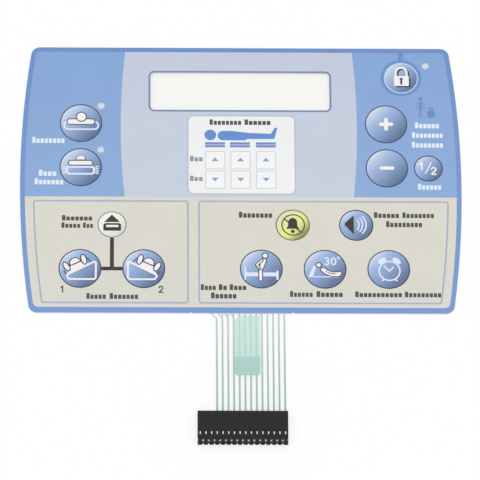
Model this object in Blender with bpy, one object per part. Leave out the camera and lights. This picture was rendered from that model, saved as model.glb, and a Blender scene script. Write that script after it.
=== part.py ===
"""Membrane keypad: a layered switch panel with a flat printed tail.

The panel lies on its back.  X runs across it, Y runs up it and Z comes out of
its face.  The origin is the middle of the rear face.  The tail leaves the
lower edge (-Y) and ends in a 16-way receptacle.  Sizes are in metres.
"""
import math

import bmesh
import bpy

MM = 0.001

# Straight pieces that a round outline is drawn with
CIRCLE_STEPS = 28
HOLE_STEPS = 16
LED_HOLE_STEPS = 12
QUARTER_STEPS = 4               # corner of a rounded rectangle
SMALL_QUARTER_STEPS = 2

# Panel outline; its width and height follow from what is printed on it
SIDE_RADIUS = 460.0 * MM        # bow of the left and right edges
SIDE_STEPS = 14
CORNER_RADIUS = 4.1 * MM
CORNER_STEPS = 5
LEAST_CORNER = 0.3 * MM         # where an inset uses up the corner radius
NICK_WIDTH = 0.7 * MM           # die-cut relief beside the root of the tail
NICK_DEPTH = 0.45 * MM
NICK_MARGIN = 3.25 * MM         # tail's edge to the middle of a nick

# Layers, from the back to the front
BOND_LINE = 0.01 * MM           # clearance between two laminated sheets
LINER_THICKNESS = 0.09 * MM
REAR_ADHESIVE_THICKNESS = 0.12 * MM
CIRCUIT_THICKNESS = 0.125 * MM
SPACER_THICKNESS = 0.40 * MM
DOME_FILM_THICKNESS = 0.08 * MM
TOP_ADHESIVE_THICKNESS = 0.06 * MM
FIELD_INK_THICKNESS = 0.03 * MM
DETAIL_INK_THICKNESS = 0.02 * MM
OVERLAY_THICKNESS = 0.20 * MM

# Printed fields
INK_GAP = 0.02 * MM             # between two inks printed side by side
EDGE_GAP = 0.03 * MM            # ink stops short of the die-cut edge
BORDER_WIDTH = 2.2 * MM
FIELD_BOW = 1.9 * MM            # bow of the sides of the centre field
FIELD_STEPS = 10
LEFT_FIELD_WIDTH = 45.8 * MM    # panel edge to the bow's widest point
RIGHT_FIELD_WIDTH = 47.4 * MM

# Display window
WINDOW_X = -0.2 * MM            # its middle
WINDOW_WIDTH = 82.4 * MM
WINDOW_HEIGHT = 19.25 * MM
WINDOW_HEAD = 10.6 * MM         # border to the window
WINDOW_RADIUS = 1.8 * MM
WINDOW_LINE = 0.85 * MM

# Comfort panel with its six square keys
COMFORT_X = 0.35 * MM           # its middle
COMFORT_HEAD = 3.05 * MM        # window to the comfort panel
COMFORT_FOOT = 1.55 * MM        # comfort panel to the lower field
COMFORT_RADIUS = 2.3 * MM
SQUARE_KEY = 9.1 * MM
SQUARE_RADIUS = 0.4 * MM
SQUARE_GAP_X = 2.55 * MM        # between columns
SQUARE_GAP_Y = 0.85 * MM        # between rows
SQUARES_LEFT = 7.8 * MM         # margins round the block of square keys
SQUARES_RIGHT = 8.7 * MM
SQUARES_ABOVE = 18.05 * MM
SQUARES_BELOW = 2.6 * MM

# Round keys: radii, columns from the panel's edges, rows from its ends
KEY_RADIUS = 9.7 * MM
MEDIUM_KEY_RADIUS = 7.8 * MM
SMALL_KEY_RADIUS = 6.6 * MM
LOCK_RADIUS = 7.9 * MM
LOCK_RING_WIDTH = 1.5 * MM
LOCK_RING_STEPS = 30
LOCK_STEM_WIDTH = 2.2 * MM
LEFT_COLUMN = 27.65 * MM        # left edge to the left key column
RIGHT_COLUMN = 34.0 * MM        # right edge to the right key column
UNITS_COLUMN = 15.0 * MM        # right edge to the small outer key
LOCK_COLUMN = 26.7 * MM         # right edge to the lock key
LOCK_ROW = 15.25 * MM           # top edge to the lock key
FIRST_ROW = 39.05 * MM          # top edge to the first key row
ROW_GAP = 3.1 * MM              # between the two upper rows of keys
MIDDLE_ROW = 14.15 * MM         # upper edge of the lower field to its keys
LOWER_ROW_PITCH = 22.1 * MM
BOTTOM_ROW = 21.9 * MM          # lower edge to the bottom keys
KEY_PITCH = 28.9 * MM           # between keys of the bottom row
TURN_TO_BOX = 20.35 * MM        # left turn key to its box's inner side
BOX_TO_EXIT = 28.5 * MM         # inner side of the right box to its first key

# Outlines and stem printed in the lower field
BOX_LINE = 0.7 * MM
BOX_SIDE_GAP = 5.9 * MM         # panel edge to the outline
BOX_TOP_GAP = 1.9 * MM          # field's upper edge to the outline
BOX_BOTTOM_GAP = 4.6 * MM       # panel's lower edge to the outline
BOX_RADIUS = 1.3 * MM
BOX_STEPS = 8
BOX_CORNER_STEPS = 3
BOX_GAP_WIDTH = 4.4 * MM        # between the two outlines
STEM_WIDTH = 1.8 * MM

# Indicators
LED_LENGTH = 1.6 * MM
LED_WIDTH = 1.2 * MM
LED_RADIUS = 0.2 * MM
LED_HEIGHT = 0.30 * MM
LED_HOLE_RADIUS = 1.5 * MM
LED_RIGHT_OF_KEY = 9.1 * MM
LED_ABOVE_KEY = 8.9 * MM
LOCK_LED_RIGHT = 11.3 * MM
LOCK_LED_ABOVE = 6.2 * MM

# Snap domes, fused to the film that carries them
DOME_MARGIN = 0.55 * MM         # rim to the edge of a square key
DOME_CROWN = 1.1 * MM
DOME_METAL = 0.06 * MM
DOME_SHOULDER = 0.30            # share of the dome's drop at half its width
DOME_FLOOR_GAP = 0.02 * MM      # rim to the circuit film
DOME_HOLE_GAP = 0.35 * MM       # rim to the hole in the spacer
DOME_STEPS = 12

# Tail
PITCH = 2.54 * MM
WAYS = 16
TRACES = 13                     # they end at the last 13 ways
TAIL_X = 0.15 * MM
TAIL_MARGIN = 0.65 * MM         # film outside the first and last ways
TAIL_REACH = 49.1 * MM          # panel edge to the receptacle
TAIL_LEVEL = 0.30               # share of the reach before the tail rises
TAIL_RISEN = 0.95               # share of the reach where it is level again
TAIL_STEPS = 10
TAIL_ROOT = 0.1 * MM            # panel edge to where the traces begin
TRACE_WIDTH = 0.85 * MM
TRACE_HEIGHT = 0.02 * MM
TRACE_FLANK = 0.06 * MM
BENT_TRACES = 4                 # traces that turn aside at the panel's edge
TRACE_BEND = 2.4 * MM
BEND_TAPER = 0.2                # each bends this share less than the last

# Green cover film on the tail
COVER_LEFT = 3.45 * MM          # left of the tail's middle
COVER_WIDTH = 11.5 * MM
COVER_START = 1.0 * MM          # from the panel's edge
COVER_END = 18.3 * MM           # its far end to the receptacle
COVER_DOUBLE = 9.1 * MM         # doubled length at its far end
COVER_THICKNESS = 0.05 * MM
COVER_FOLD = 0.05 * MM          # length of the step up to the doubled part
COVER_GAP = 0.02 * MM
COVER_CHAMFER = 2.4 * MM        # upper left corner
COVER_RADIUS = 1.2 * MM         # lower corners
COVER_STEPS = 5
COVER_CORNER_STEPS = 3

# Receptacle
HOUSING_LENGTH = 15.3 * MM
HOUSING_HEIGHT = 3.6 * MM
HOUSING_SIDE_WALL = 0.25 * MM   # beside the slot for the tail
HOUSING_EDGE = 0.25 * MM
NOSE_EDGE = 0.125 * MM
CAVITY_WIDTH = 1.10 * MM
CAVITY_HEIGHT = 1.60 * MM
CAVITY_DEPTH = 12.6 * MM
LEAD_IN = 0.25 * MM             # funnel round each mouth
SLOT_HEIGHT = 0.60 * MM         # slot that takes the tail
SLOT_SIDE_GAP = 0.30 * MM
TAIL_SEAT = 7.0 * MM            # how far the tail goes in
SLOT_END_GAP = 0.40 * MM
LATCH_FROM_FRONT = 4.75 * MM    # front to the middle of the latch windows
LATCH_WINDOW_LENGTH = 2.0 * MM
LATCH_WINDOW_WIDTH = 1.05 * MM
GROOVE_WIDTH = 1.15 * MM        # vee grooves between the mouths
GROOVE_LENGTH = 1.9 * MM
GROOVE_DEPTH = 1.45 * MM
GROOVE_FLOOR = 0.45 * MM        # width of a groove's floor
GROOVE_END = 0.02 * MM          # depth where a groove runs out
KEYWAY_WIDTH = 0.80 * MM        # slot in the roof of each mouth
KEYWAY_LENGTH = 1.1 * MM
STEP_LENGTH = 3.4 * MM          # front part that is a little lower
STEP_DEPTH = 0.12 * MM
PAST = 0.1 * MM                 # how far a cut starts outside a face

# Contacts
CONTACT_WIDTH = 0.60 * MM
CONTACT_METAL = 0.20 * MM
CONTACT_NOSE = 0.70 * MM        # front of the housing to the contact
CONTACT_BEAM = 0.80 * MM        # nose to where the beams come closest
CONTACT_PINCH = 0.14 * MM       # how far each beam leans in
CONTACT_GRIP = 0.03 * MM        # jaw to the film
CONTACT_JAW = 3.2 * MM          # how far the jaws reach over the film
CONTACT_BRIDGE = 1.0 * MM
CONTACT_ROOF_GAP = 0.10 * MM
LATCH_SINK = 0.25 * MM          # top of the latch below the housing's face
LATCH_PLAY = 0.20 * MM          # edge of the window to the latch
LATCH_RAMP = 0.32 * MM

# Values that follow from the ones above
COMFORT_WIDTH = (SQUARES_LEFT + 3 * SQUARE_KEY + 2 * SQUARE_GAP_X
                 + SQUARES_RIGHT)
COMFORT_HEIGHT = (SQUARES_ABOVE + 2 * SQUARE_KEY + SQUARE_GAP_Y
                  + SQUARES_BELOW)
UPPER_HEIGHT = (BORDER_WIDTH + WINDOW_HEAD + WINDOW_HEIGHT + COMFORT_HEAD
                + COMFORT_HEIGHT + COMFORT_FOOT)
LOWER_HEIGHT = MIDDLE_ROW + LOWER_ROW_PITCH + BOTTOM_ROW
PANEL_HEIGHT = UPPER_HEIGHT + LOWER_HEIGHT
# across the widest point of the bowed sides
PANEL_WIDTH = (LEFT_COLUMN + KEY_PITCH + TURN_TO_BOX + BOX_GAP_WIDTH
               + BOX_TO_EXIT + 2 * KEY_PITCH + RIGHT_COLUMN)

LEFT = -PANEL_WIDTH / 2
RIGHT = PANEL_WIDTH / 2
TOP = PANEL_HEIGHT / 2
BOTTOM = -PANEL_HEIGHT / 2

LINER_Z = 0.0
REAR_ADHESIVE_Z = LINER_Z + LINER_THICKNESS + BOND_LINE
CIRCUIT_Z = REAR_ADHESIVE_Z + REAR_ADHESIVE_THICKNESS + BOND_LINE
SPACER_Z = CIRCUIT_Z + CIRCUIT_THICKNESS + BOND_LINE
DOME_FILM_Z = SPACER_Z + SPACER_THICKNESS + BOND_LINE
TOP_ADHESIVE_Z = DOME_FILM_Z + DOME_FILM_THICKNESS + BOND_LINE
FIELD_INK_Z = TOP_ADHESIVE_Z + TOP_ADHESIVE_THICKNESS + BOND_LINE
DETAIL_INK_Z = FIELD_INK_Z + FIELD_INK_THICKNESS + BOND_LINE
OVERLAY_Z = DETAIL_INK_Z + DETAIL_INK_THICKNESS + BOND_LINE

FIELD_SPLIT_Y = TOP - UPPER_HEIGHT
WINDOW_Y = TOP - BORDER_WIDTH - WINDOW_HEAD - WINDOW_HEIGHT / 2
COMFORT_Y = FIELD_SPLIT_Y + COMFORT_FOOT + COMFORT_HEIGHT / 2
LEFT_BOX_END = LEFT + LEFT_COLUMN + KEY_PITCH + TURN_TO_BOX
RIGHT_BOX_START = LEFT_BOX_END + BOX_GAP_WIDTH

LEFT_KEYS_X = LEFT + LEFT_COLUMN
RIGHT_KEYS_X = RIGHT - RIGHT_COLUMN
FIRST_KEYS_Y = TOP - FIRST_ROW
SECOND_KEYS_Y = FIRST_KEYS_Y - 2 * KEY_RADIUS - ROW_GAP
MIDDLE_KEYS_Y = FIELD_SPLIT_Y - MIDDLE_ROW
BOTTOM_KEYS_Y = BOTTOM + BOTTOM_ROW
KEYS = {
    "key_normal": (LEFT_KEYS_X, FIRST_KEYS_Y, KEY_RADIUS),
    "key_maximum": (LEFT_KEYS_X, SECOND_KEYS_Y, KEY_RADIUS),
    "key_plus": (RIGHT_KEYS_X, FIRST_KEYS_Y, KEY_RADIUS),
    "key_minus": (RIGHT_KEYS_X, SECOND_KEYS_Y, KEY_RADIUS),
    "key_units": (RIGHT - UNITS_COLUMN, SECOND_KEYS_Y, SMALL_KEY_RADIUS),
    "key_lock": (RIGHT - LOCK_COLUMN, TOP - LOCK_ROW, LOCK_RADIUS),
    "key_turn_right": (LEFT_KEYS_X, BOTTOM_KEYS_Y, KEY_RADIUS),
    "key_turn_left": (LEFT_KEYS_X + KEY_PITCH, BOTTOM_KEYS_Y, KEY_RADIUS),
    "key_turn_stop": (LEFT_KEYS_X + KEY_PITCH / 2, MIDDLE_KEYS_Y,
                      SMALL_KEY_RADIUS),
    "key_bed_exit": (RIGHT_KEYS_X - 2 * KEY_PITCH, BOTTOM_KEYS_Y, KEY_RADIUS),
    "key_head_angle": (RIGHT_KEYS_X - KEY_PITCH, BOTTOM_KEYS_Y, KEY_RADIUS),
    "key_timer": (RIGHT_KEYS_X, BOTTOM_KEYS_Y, KEY_RADIUS),
    "key_alarm_silence": (RIGHT_KEYS_X - 1.5 * KEY_PITCH, MIDDLE_KEYS_Y,
                          MEDIUM_KEY_RADIUS),
    "key_volume": (RIGHT_KEYS_X - 0.5 * KEY_PITCH, MIDDLE_KEYS_Y,
                   MEDIUM_KEY_RADIUS),
}
SQUARES_X = COMFORT_X - COMFORT_WIDTH / 2 + SQUARES_LEFT + SQUARE_KEY / 2
SQUARES_Y = COMFORT_Y + COMFORT_HEIGHT / 2 - SQUARES_ABOVE - SQUARE_KEY / 2
SQUARE_KEYS = {
    f"key_zone_{column + 1}_{label}": (
        SQUARES_X + column * (SQUARE_KEY + SQUARE_GAP_X),
        SQUARES_Y - row * (SQUARE_KEY + SQUARE_GAP_Y))
    for column in range(3) for row, label in enumerate(("firmer", "softer"))
}
DOME_RADIUS = SQUARE_KEY / 2 - DOME_MARGIN
LEDS = {
    "led_normal": (LEFT_KEYS_X + LED_RIGHT_OF_KEY,
                   FIRST_KEYS_Y + LED_ABOVE_KEY),
    "led_maximum": (LEFT_KEYS_X + LED_RIGHT_OF_KEY,
                    SECOND_KEYS_Y + LED_ABOVE_KEY),
    "led_lock": (RIGHT - LOCK_COLUMN + LOCK_LED_RIGHT,
                 TOP - LOCK_ROW + LOCK_LED_ABOVE),
}

TAIL_WIDTH = (WAYS - 1) * PITCH + 2 * TAIL_MARGIN
SLOT_WIDTH = TAIL_WIDTH + 2 * SLOT_SIDE_GAP
HOUSING_WIDTH = SLOT_WIDTH + 2 * HOUSING_SIDE_WALL
HOUSING_REAR = BOTTOM - TAIL_REACH
HOUSING_FRONT = HOUSING_REAR - HOUSING_LENGTH
HOUSING_MIDDLE = HOUSING_HEIGHT / 2
HOUSING_NOSE = HOUSING_HEIGHT - STEP_DEPTH
LATCH_Y = HOUSING_FRONT + LATCH_FROM_FRONT
WAY_X = [TAIL_X + (i - (WAYS - 1) / 2) * PITCH for i in range(WAYS)]
TRACE_X = WAY_X[WAYS - TRACES:]
TAIL_END = HOUSING_REAR - TAIL_SEAT


# Outlines: lists of (x, y), anticlockwise
def arc(cx, cy, radius, start, end, steps):
    """Points on an arc, with both of its ends."""
    return [(cx + radius * math.cos(start + (end - start) * i / steps),
             cy + radius * math.sin(start + (end - start) * i / steps))
            for i in range(steps + 1)]


def circle(cx, cy, radius, steps=CIRCLE_STEPS):
    return arc(cx, cy, radius, 0.0, 2 * math.pi, steps)[:-1]


def rounded_rectangle(cx, cy, width, height, radius, steps=QUARTER_STEPS):
    points = []
    for i, (sx, sy) in enumerate(((1, 1), (-1, 1), (-1, -1), (1, -1))):
        points += arc(cx + sx * (width / 2 - radius),
                      cy + sy * (height / 2 - radius), radius,
                      i * math.pi / 2, (i + 1) * math.pi / 2, steps)
    return points


def panel_outline(inset=0.0, nicks=True, root=()):
    """The panel's edge: bowed sides, straight ends, filleted corners.

    The fillet is the circle that touches the straight end and the bowed side.
    root holds extra x positions along the lower edge.
    """
    side = SIDE_RADIUS - inset
    centre = PANEL_WIDTH / 2 - SIDE_RADIUS
    half_height = PANEL_HEIGHT / 2 - inset
    corner = max(CORNER_RADIUS - inset, LEAST_CORNER)
    fillet_y = half_height - corner
    fillet_x = centre + math.sqrt((side - corner) ** 2 - fillet_y ** 2)
    lean = math.atan2(fillet_y, fillet_x - centre)

    right = arc(centre, 0.0, side, -lean, lean, SIDE_STEPS)
    right += arc(fillet_x, fillet_y, corner, lean, math.pi / 2,
                 CORNER_STEPS)[1:]
    left = [(-x, y) for x, y in reversed(right)]
    lower_left = [(-x, -y) for x, y in right[SIDE_STEPS + 1:]]
    lower_right = [(-x, y) for x, y in reversed(lower_left)]

    lower = [(x, -half_height) for x in root]
    if nicks:
        lower = nick(-1, half_height) + lower + nick(1, half_height)
    return right + left + lower_left + lower + lower_right


def nick(side, half_height):
    """A notch in the lower edge, on one side of the tail."""
    middle = TAIL_X + side * (TAIL_WIDTH / 2 + NICK_MARGIN)
    return [(middle + dx * NICK_WIDTH / 2, -half_height + dy * NICK_DEPTH)
            for dx, dy in ((-1, 0), (-1, 1), (1, 1), (1, 0))]


def field_edge(x, bow_side, low, high):
    """The bowed edge between two upper fields, from low to high."""
    points = []
    for i in range(FIELD_STEPS + 1):
        share = i / FIELD_STEPS
        bulge = 4 * share * (1 - share)
        points.append((x + bow_side * FIELD_BOW * bulge,
                       low + (high - low) * share))
    return points


def side_edge_x(y, inset):
    """Half the width of the panel at height y, less an inset."""
    centre = PANEL_WIDTH / 2 - SIDE_RADIUS
    return centre + math.sqrt((SIDE_RADIUS - inset) ** 2 - y ** 2)


# Solids
def material(name, colour, roughness=0.5, metallic=0.0, alpha=1.0):
    mat = bpy.data.materials.get(name) or bpy.data.materials.new(name)
    mat.use_nodes = True
    shader = mat.node_tree.nodes["Principled BSDF"]
    shader.inputs["Base Color"].default_value = (*colour, 1.0)
    shader.inputs["Roughness"].default_value = roughness
    shader.inputs["Metallic"].default_value = metallic
    shader.inputs["Alpha"].default_value = alpha
    return mat


def finish(name, bm, mat, parent):
    """Turn a bmesh into a named object."""
    bmesh.ops.recalc_face_normals(bm, faces=bm.faces)
    mesh = bpy.data.meshes.new(name)
    bm.to_mesh(mesh)
    bm.free()
    mesh.materials.append(mat)
    obj = bpy.data.objects.new(name, mesh)
    bpy.context.scene.collection.objects.link(obj)
    obj.parent = parent
    return obj


def fill(bm, loops, z):
    """Fill an outline and its holes at height z; returns vertex loops."""
    rings, edges = [], []
    for loop in loops:
        verts = [bm.verts.new((x, y, z)) for x, y in loop]
        edges += [bm.edges.new((verts[i], verts[(i + 1) % len(verts)]))
                  for i in range(len(verts))]
        rings.append(verts)
    bmesh.ops.triangle_fill(bm, use_beauty=True, use_dissolve=False,
                            edges=edges)
    return rings


def sheet(name, outline, z, thickness, mat, parent, holes=()):
    """A flat die-cut sheet with its lower face at z."""
    bm = bmesh.new()
    fill(bm, [outline, *holes], z)
    grown = bmesh.ops.extrude_face_region(bm, geom=bm.faces[:])
    top = [v for v in grown["geom"] if isinstance(v, bmesh.types.BMVert)]
    bmesh.ops.translate(bm, vec=(0, 0, thickness), verts=top)
    return finish(name, bm, mat, parent)


def loft(bm, rings):
    """Join vertex rings of equal length into a closed tube with caps."""
    count = len(rings[0])
    for a, b in zip(rings, rings[1:]):
        for i in range(count):
            j = (i + 1) % count
            bm.faces.new((a[i], a[j], b[j], b[i]))
    bm.faces.new(rings[0])
    bm.faces.new(rings[-1])


def block(bm, low, high):
    """An axis-aligned box between two corners."""
    made = bmesh.ops.create_cube(bm, size=1.0)["verts"]
    for v in made:
        v.co = [low[k] + (v.co[k] + 0.5) * (high[k] - low[k])
                for k in range(3)]


def cut(target, name, bm, parent):
    """Take the bmesh away from the target with a Boolean modifier."""
    tool = finish(name, bm, target.data.materials[0], parent)
    tool.hide_render = True
    tool.display_type = 'WIRE'
    mod = target.modifiers.new(name, 'BOOLEAN')
    mod.operation = 'DIFFERENCE'
    mod.solver = 'EXACT'
    mod.object = tool


# The flat layers
def window_outline(grow=0.0):
    return rounded_rectangle(WINDOW_X, WINDOW_Y, WINDOW_WIDTH + 2 * grow,
                             WINDOW_HEIGHT + 2 * grow, WINDOW_RADIUS + grow)


def dome_places():
    places = [(x, y) for x, y, _ in KEYS.values()]
    return places + list(SQUARE_KEYS.values())


def make_sheets(parent):
    outline = panel_outline()
    sheet("release_liner", outline, LINER_Z, LINER_THICKNESS,
          MATERIALS["liner"], parent)
    sheet("rear_adhesive", outline, REAR_ADHESIVE_Z, REAR_ADHESIVE_THICKNESS,
          MATERIALS["adhesive"], parent, [window_outline()])
    holes = [circle(x, y, DOME_RADIUS + DOME_HOLE_GAP, HOLE_STEPS)
             for x, y in dome_places()]
    holes += [circle(x, y, LED_HOLE_RADIUS, LED_HOLE_STEPS)
              for x, y in LEDS.values()]
    sheet("spacer", outline, SPACER_Z, SPACER_THICKNESS, MATERIALS["spacer"],
          parent, [window_outline(), *holes])
    sheet("top_adhesive", outline, TOP_ADHESIVE_Z, TOP_ADHESIVE_THICKNESS,
          MATERIALS["adhesive"], parent, [window_outline()])
    sheet("overlay_film", outline, OVERLAY_Z, OVERLAY_THICKNESS,
          MATERIALS["clear"], parent)


def make_dome_sheet(parent):
    """The carrier film with a shallow metal dome under every key."""
    bm = bmesh.new()
    crowns = [circle(x, y, DOME_CROWN, DOME_STEPS) for x, y in dome_places()]
    rings = fill(bm, [panel_outline(), window_outline(), *crowns],
                 DOME_FILM_Z)
    # upper face: the same sheet without the crowns' holes
    top_rings = fill(bm, [panel_outline(), window_outline()],
                     DOME_FILM_Z + DOME_FILM_THICKNESS)
    for low, high in zip(rings[:2], top_rings):
        for i in range(len(low)):
            j = (i + 1) % len(low)
            bm.faces.new((low[i], low[j], high[j], high[i]))

    # each dome: down its outside, round the rim and back up inside
    drop = DOME_FILM_Z - (SPACER_Z - BOND_LINE) - DOME_FLOOR_GAP
    half_way = (DOME_CROWN + DOME_RADIUS) / 2
    shoulder = -DOME_SHOULDER * drop
    profile = [(half_way, shoulder), (DOME_RADIUS, -drop),
               (DOME_RADIUS - DOME_METAL, -drop),
               (half_way, shoulder - DOME_METAL)]
    for (cx, cy), crown in zip(dome_places(), rings[2:]):
        last = crown
        for radius, dz in profile:
            ring = [bm.verts.new((x, y, DOME_FILM_Z + dz))
                    for x, y in circle(cx, cy, radius, DOME_STEPS)]
            for i in range(DOME_STEPS):
                j = (i + 1) % DOME_STEPS
                bm.faces.new((last[i], last[j], ring[j], ring[i]))
            last = ring
        tip = bm.verts.new((cx, cy, DOME_FILM_Z - DOME_METAL))
        for i in range(DOME_STEPS):
            bm.faces.new((last[i], last[(i + 1) % DOME_STEPS], tip))
    finish("dome_sheet", bm, MATERIALS["dome"], parent)


def make_leds(parent):
    for name, (x, y) in LEDS.items():
        outline = rounded_rectangle(x, y, LED_LENGTH, LED_WIDTH, LED_RADIUS,
                                    SMALL_QUARTER_STEPS)
        sheet(name, outline, SPACER_Z, LED_HEIGHT, MATERIALS["led"], parent)


# The print on the back of the overlay
def make_fields(parent):
    z, t = FIELD_INK_Z, FIELD_INK_THICKNESS
    sheet("print_border", panel_outline(EDGE_GAP), z, t, MATERIALS["border"],
          parent, [panel_outline(BORDER_WIDTH, nicks=False)])

    inset = BORDER_WIDTH + INK_GAP
    half_gap = INK_GAP / 2
    high = TOP - inset
    split_high = FIELD_SPLIT_Y + half_gap
    split_low = FIELD_SPLIT_Y - half_gap
    left_x = LEFT + LEFT_FIELD_WIDTH + FIELD_BOW
    right_x = RIGHT - RIGHT_FIELD_WIDTH - FIELD_BOW
    corner_x = side_edge_x(FIELD_SPLIT_Y, inset)
    outline = panel_outline(inset, nicks=False)
    upper = [(x, y) for x, y in outline if y > split_high]

    # right field: up the panel's side, then down its own bowed edge
    edge = field_edge(right_x + half_gap, 1, split_high, high)
    side = [(x, y) for x, y in upper if x > 0]
    sheet("print_right_field",
          [edge[0], (corner_x, split_high)] + side + edge[:0:-1],
          z, t, MATERIALS["side_field"], parent)
    # left field
    edge = field_edge(left_x - half_gap, -1, split_high, high)
    side = [(x, y) for x, y in upper if x < 0]
    sheet("print_left_field", edge + side + [(-corner_x, split_high)],
          z, t, MATERIALS["side_field"], parent)
    # centre field between them, round the window and the comfort panel
    right_edge = field_edge(right_x - half_gap, 1, split_high, high)
    left_edge = field_edge(left_x + half_gap, -1, split_high, high)
    comfort = rounded_rectangle(COMFORT_X, COMFORT_Y, COMFORT_WIDTH,
                                COMFORT_HEIGHT, COMFORT_RADIUS)
    comfort_hole = rounded_rectangle(
        COMFORT_X, COMFORT_Y, COMFORT_WIDTH + 2 * INK_GAP,
        COMFORT_HEIGHT + 2 * INK_GAP, COMFORT_RADIUS + INK_GAP)
    sheet("print_centre_field", right_edge + left_edge[::-1], z, t,
          MATERIALS["centre_field"], parent, [window_outline(), comfort_hole])
    sheet("print_comfort_panel", comfort, z, t, MATERIALS["comfort"], parent)
    # lower field
    right_low = sorted(((x, y) for x, y in outline if x > 0 and y < split_low),
                       key=lambda point: point[1])
    right_low.append((corner_x, split_low))
    left_low = [(-x, y) for x, y in reversed(right_low)]
    sheet("print_lower_field", right_low + left_low, z, t,
          MATERIALS["lower_field"], parent)


def box_outline(x_inner, side, inset):
    """A printed outline that follows the panel's bowed side."""
    top = FIELD_SPLIT_Y - BOX_TOP_GAP - inset
    bottom = BOTTOM + BOX_BOTTOM_GAP + inset
    radius = BOX_RADIUS - inset
    low, high = bottom + radius, top - radius
    outer = []
    for i in range(BOX_STEPS + 1):
        y = low + (high - low) * i / BOX_STEPS
        outer.append((side_edge_x(y, BOX_SIDE_GAP + inset), y))
    foot = arc(outer[0][0] - radius, low, radius, -math.pi / 2, 0.0,
               BOX_CORNER_STEPS)[:-1]
    corner = arc(outer[-1][0] - radius, high, radius, 0.0, math.pi / 2,
                 BOX_CORNER_STEPS)[1:]
    inner = side * x_inner + inset + radius
    inner_foot = arc(inner, low, radius, math.pi, 1.5 * math.pi,
                     BOX_CORNER_STEPS)
    inner_corner = arc(inner, high, radius, math.pi / 2, math.pi,
                       BOX_CORNER_STEPS)
    points = inner_foot + foot + outer + corner + inner_corner
    if side < 0:
        points = [(-x, y) for x, y in reversed(points)]
    return points


def make_keys(parent):
    z, t = DETAIL_INK_Z, DETAIL_INK_THICKNESS
    for name, (x, y, radius) in KEYS.items():
        ink = {"key_turn_stop": "key_white",
               "key_alarm_silence": "key_yellow"}.get(name, "key_blue")
        sheet(name, circle(x, y, radius), z, t, MATERIALS[ink], parent)
    for name, (x, y) in SQUARE_KEYS.items():
        outline = rounded_rectangle(x, y, SQUARE_KEY, SQUARE_KEY,
                                    SQUARE_RADIUS, SMALL_QUARTER_STEPS)
        sheet(name, outline, z, t, MATERIALS["key_square"], parent)


def make_lines(parent):
    z, t = DETAIL_INK_Z, DETAIL_INK_THICKNESS
    # ring round the lock key, joined to the border by a short stem
    x, y, radius = KEYS["key_lock"]
    outer = radius + LOCK_RING_WIDTH
    half = LOCK_STEM_WIDTH / 2
    lean = math.asin(half / outer)
    ring = arc(x, y, outer, math.pi / 2 + lean, 2.5 * math.pi - lean,
               LOCK_RING_STEPS)
    stem_top = TOP - BORDER_WIDTH / 2
    sheet("print_lock_ring",
          ring + [(x + half, stem_top), (x - half, stem_top)], z, t,
          MATERIALS["border"], parent, [circle(x, y, radius + INK_GAP)])

    sheet("print_window_line", window_outline(WINDOW_LINE), z, t,
          MATERIALS["window_line"], parent, [window_outline()])
    for name, side, x_inner in (("print_left_box", -1, LEFT_BOX_END),
                                ("print_right_box", 1, RIGHT_BOX_START)):
        sheet(name, box_outline(x_inner, side, 0.0), z, t,
              MATERIALS["box_line"], parent,
              [box_outline(x_inner, side, BOX_LINE)])

    # stem from the stop key to the two turn keys
    x, y, radius = KEYS["key_turn_stop"]
    half = STEM_WIDTH / 2
    arm = KEY_PITCH / 2 - KEY_RADIUS - INK_GAP
    arm_low, arm_high = BOTTOM_KEYS_Y - half, BOTTOM_KEYS_Y + half
    stem_top = y - radius - INK_GAP
    sheet("print_turn_stem",
          [(x - arm, arm_low), (x + arm, arm_low), (x + arm, arm_high),
           (x + half, arm_high), (x + half, stem_top), (x - half, stem_top),
           (x - half, arm_high), (x - arm, arm_high)],
          z, t, MATERIALS["stem"], parent)


# Circuit film with the tail that is cut from it
def tail_height(y):
    """Rise of the tail between the panel's edge and the receptacle."""
    share = (BOTTOM - y) / TAIL_REACH
    u = (share - TAIL_LEVEL) / (TAIL_RISEN - TAIL_LEVEL)
    u = min(max(u, 0.0), 1.0)
    rise = HOUSING_MIDDLE - CIRCUIT_THICKNESS / 2 - CIRCUIT_Z
    return rise * u * u * (3 - 2 * u)


def tail_section(y):
    """(x, ridge) stations across the tail: its edges and each trace."""
    start = BOTTOM - TAIL_ROOT
    bend = min(max((start - TRACE_BEND - y) / TRACE_BEND, -1.0), 0.0)
    half = TRACE_WIDTH / 2
    stations = [(TAIL_X - TAIL_WIDTH / 2, 0.0)]
    for i, x in enumerate(TRACE_X):
        if i < BENT_TRACES:
            x += bend * TRACE_BEND * (1 - BEND_TAPER * i)
        stations += [(x - half, 0.0), (x - half + TRACE_FLANK, TRACE_HEIGHT),
                     (x + half - TRACE_FLANK, TRACE_HEIGHT), (x + half, 0.0)]
    stations.append((TAIL_X + TAIL_WIDTH / 2, 0.0))
    return stations


def tail_rows():
    """Y positions of the tail's cross-sections, from its root to its end."""
    start = BOTTOM - TAIL_ROOT
    level_end = BOTTOM - TAIL_LEVEL * TAIL_REACH
    risen = BOTTOM - TAIL_RISEN * TAIL_REACH
    rise = [level_end + (risen - level_end) * i / TAIL_STEPS
            for i in range(TAIL_STEPS + 1)]
    return [start, start - TRACE_BEND, *rise, TAIL_END]


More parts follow.
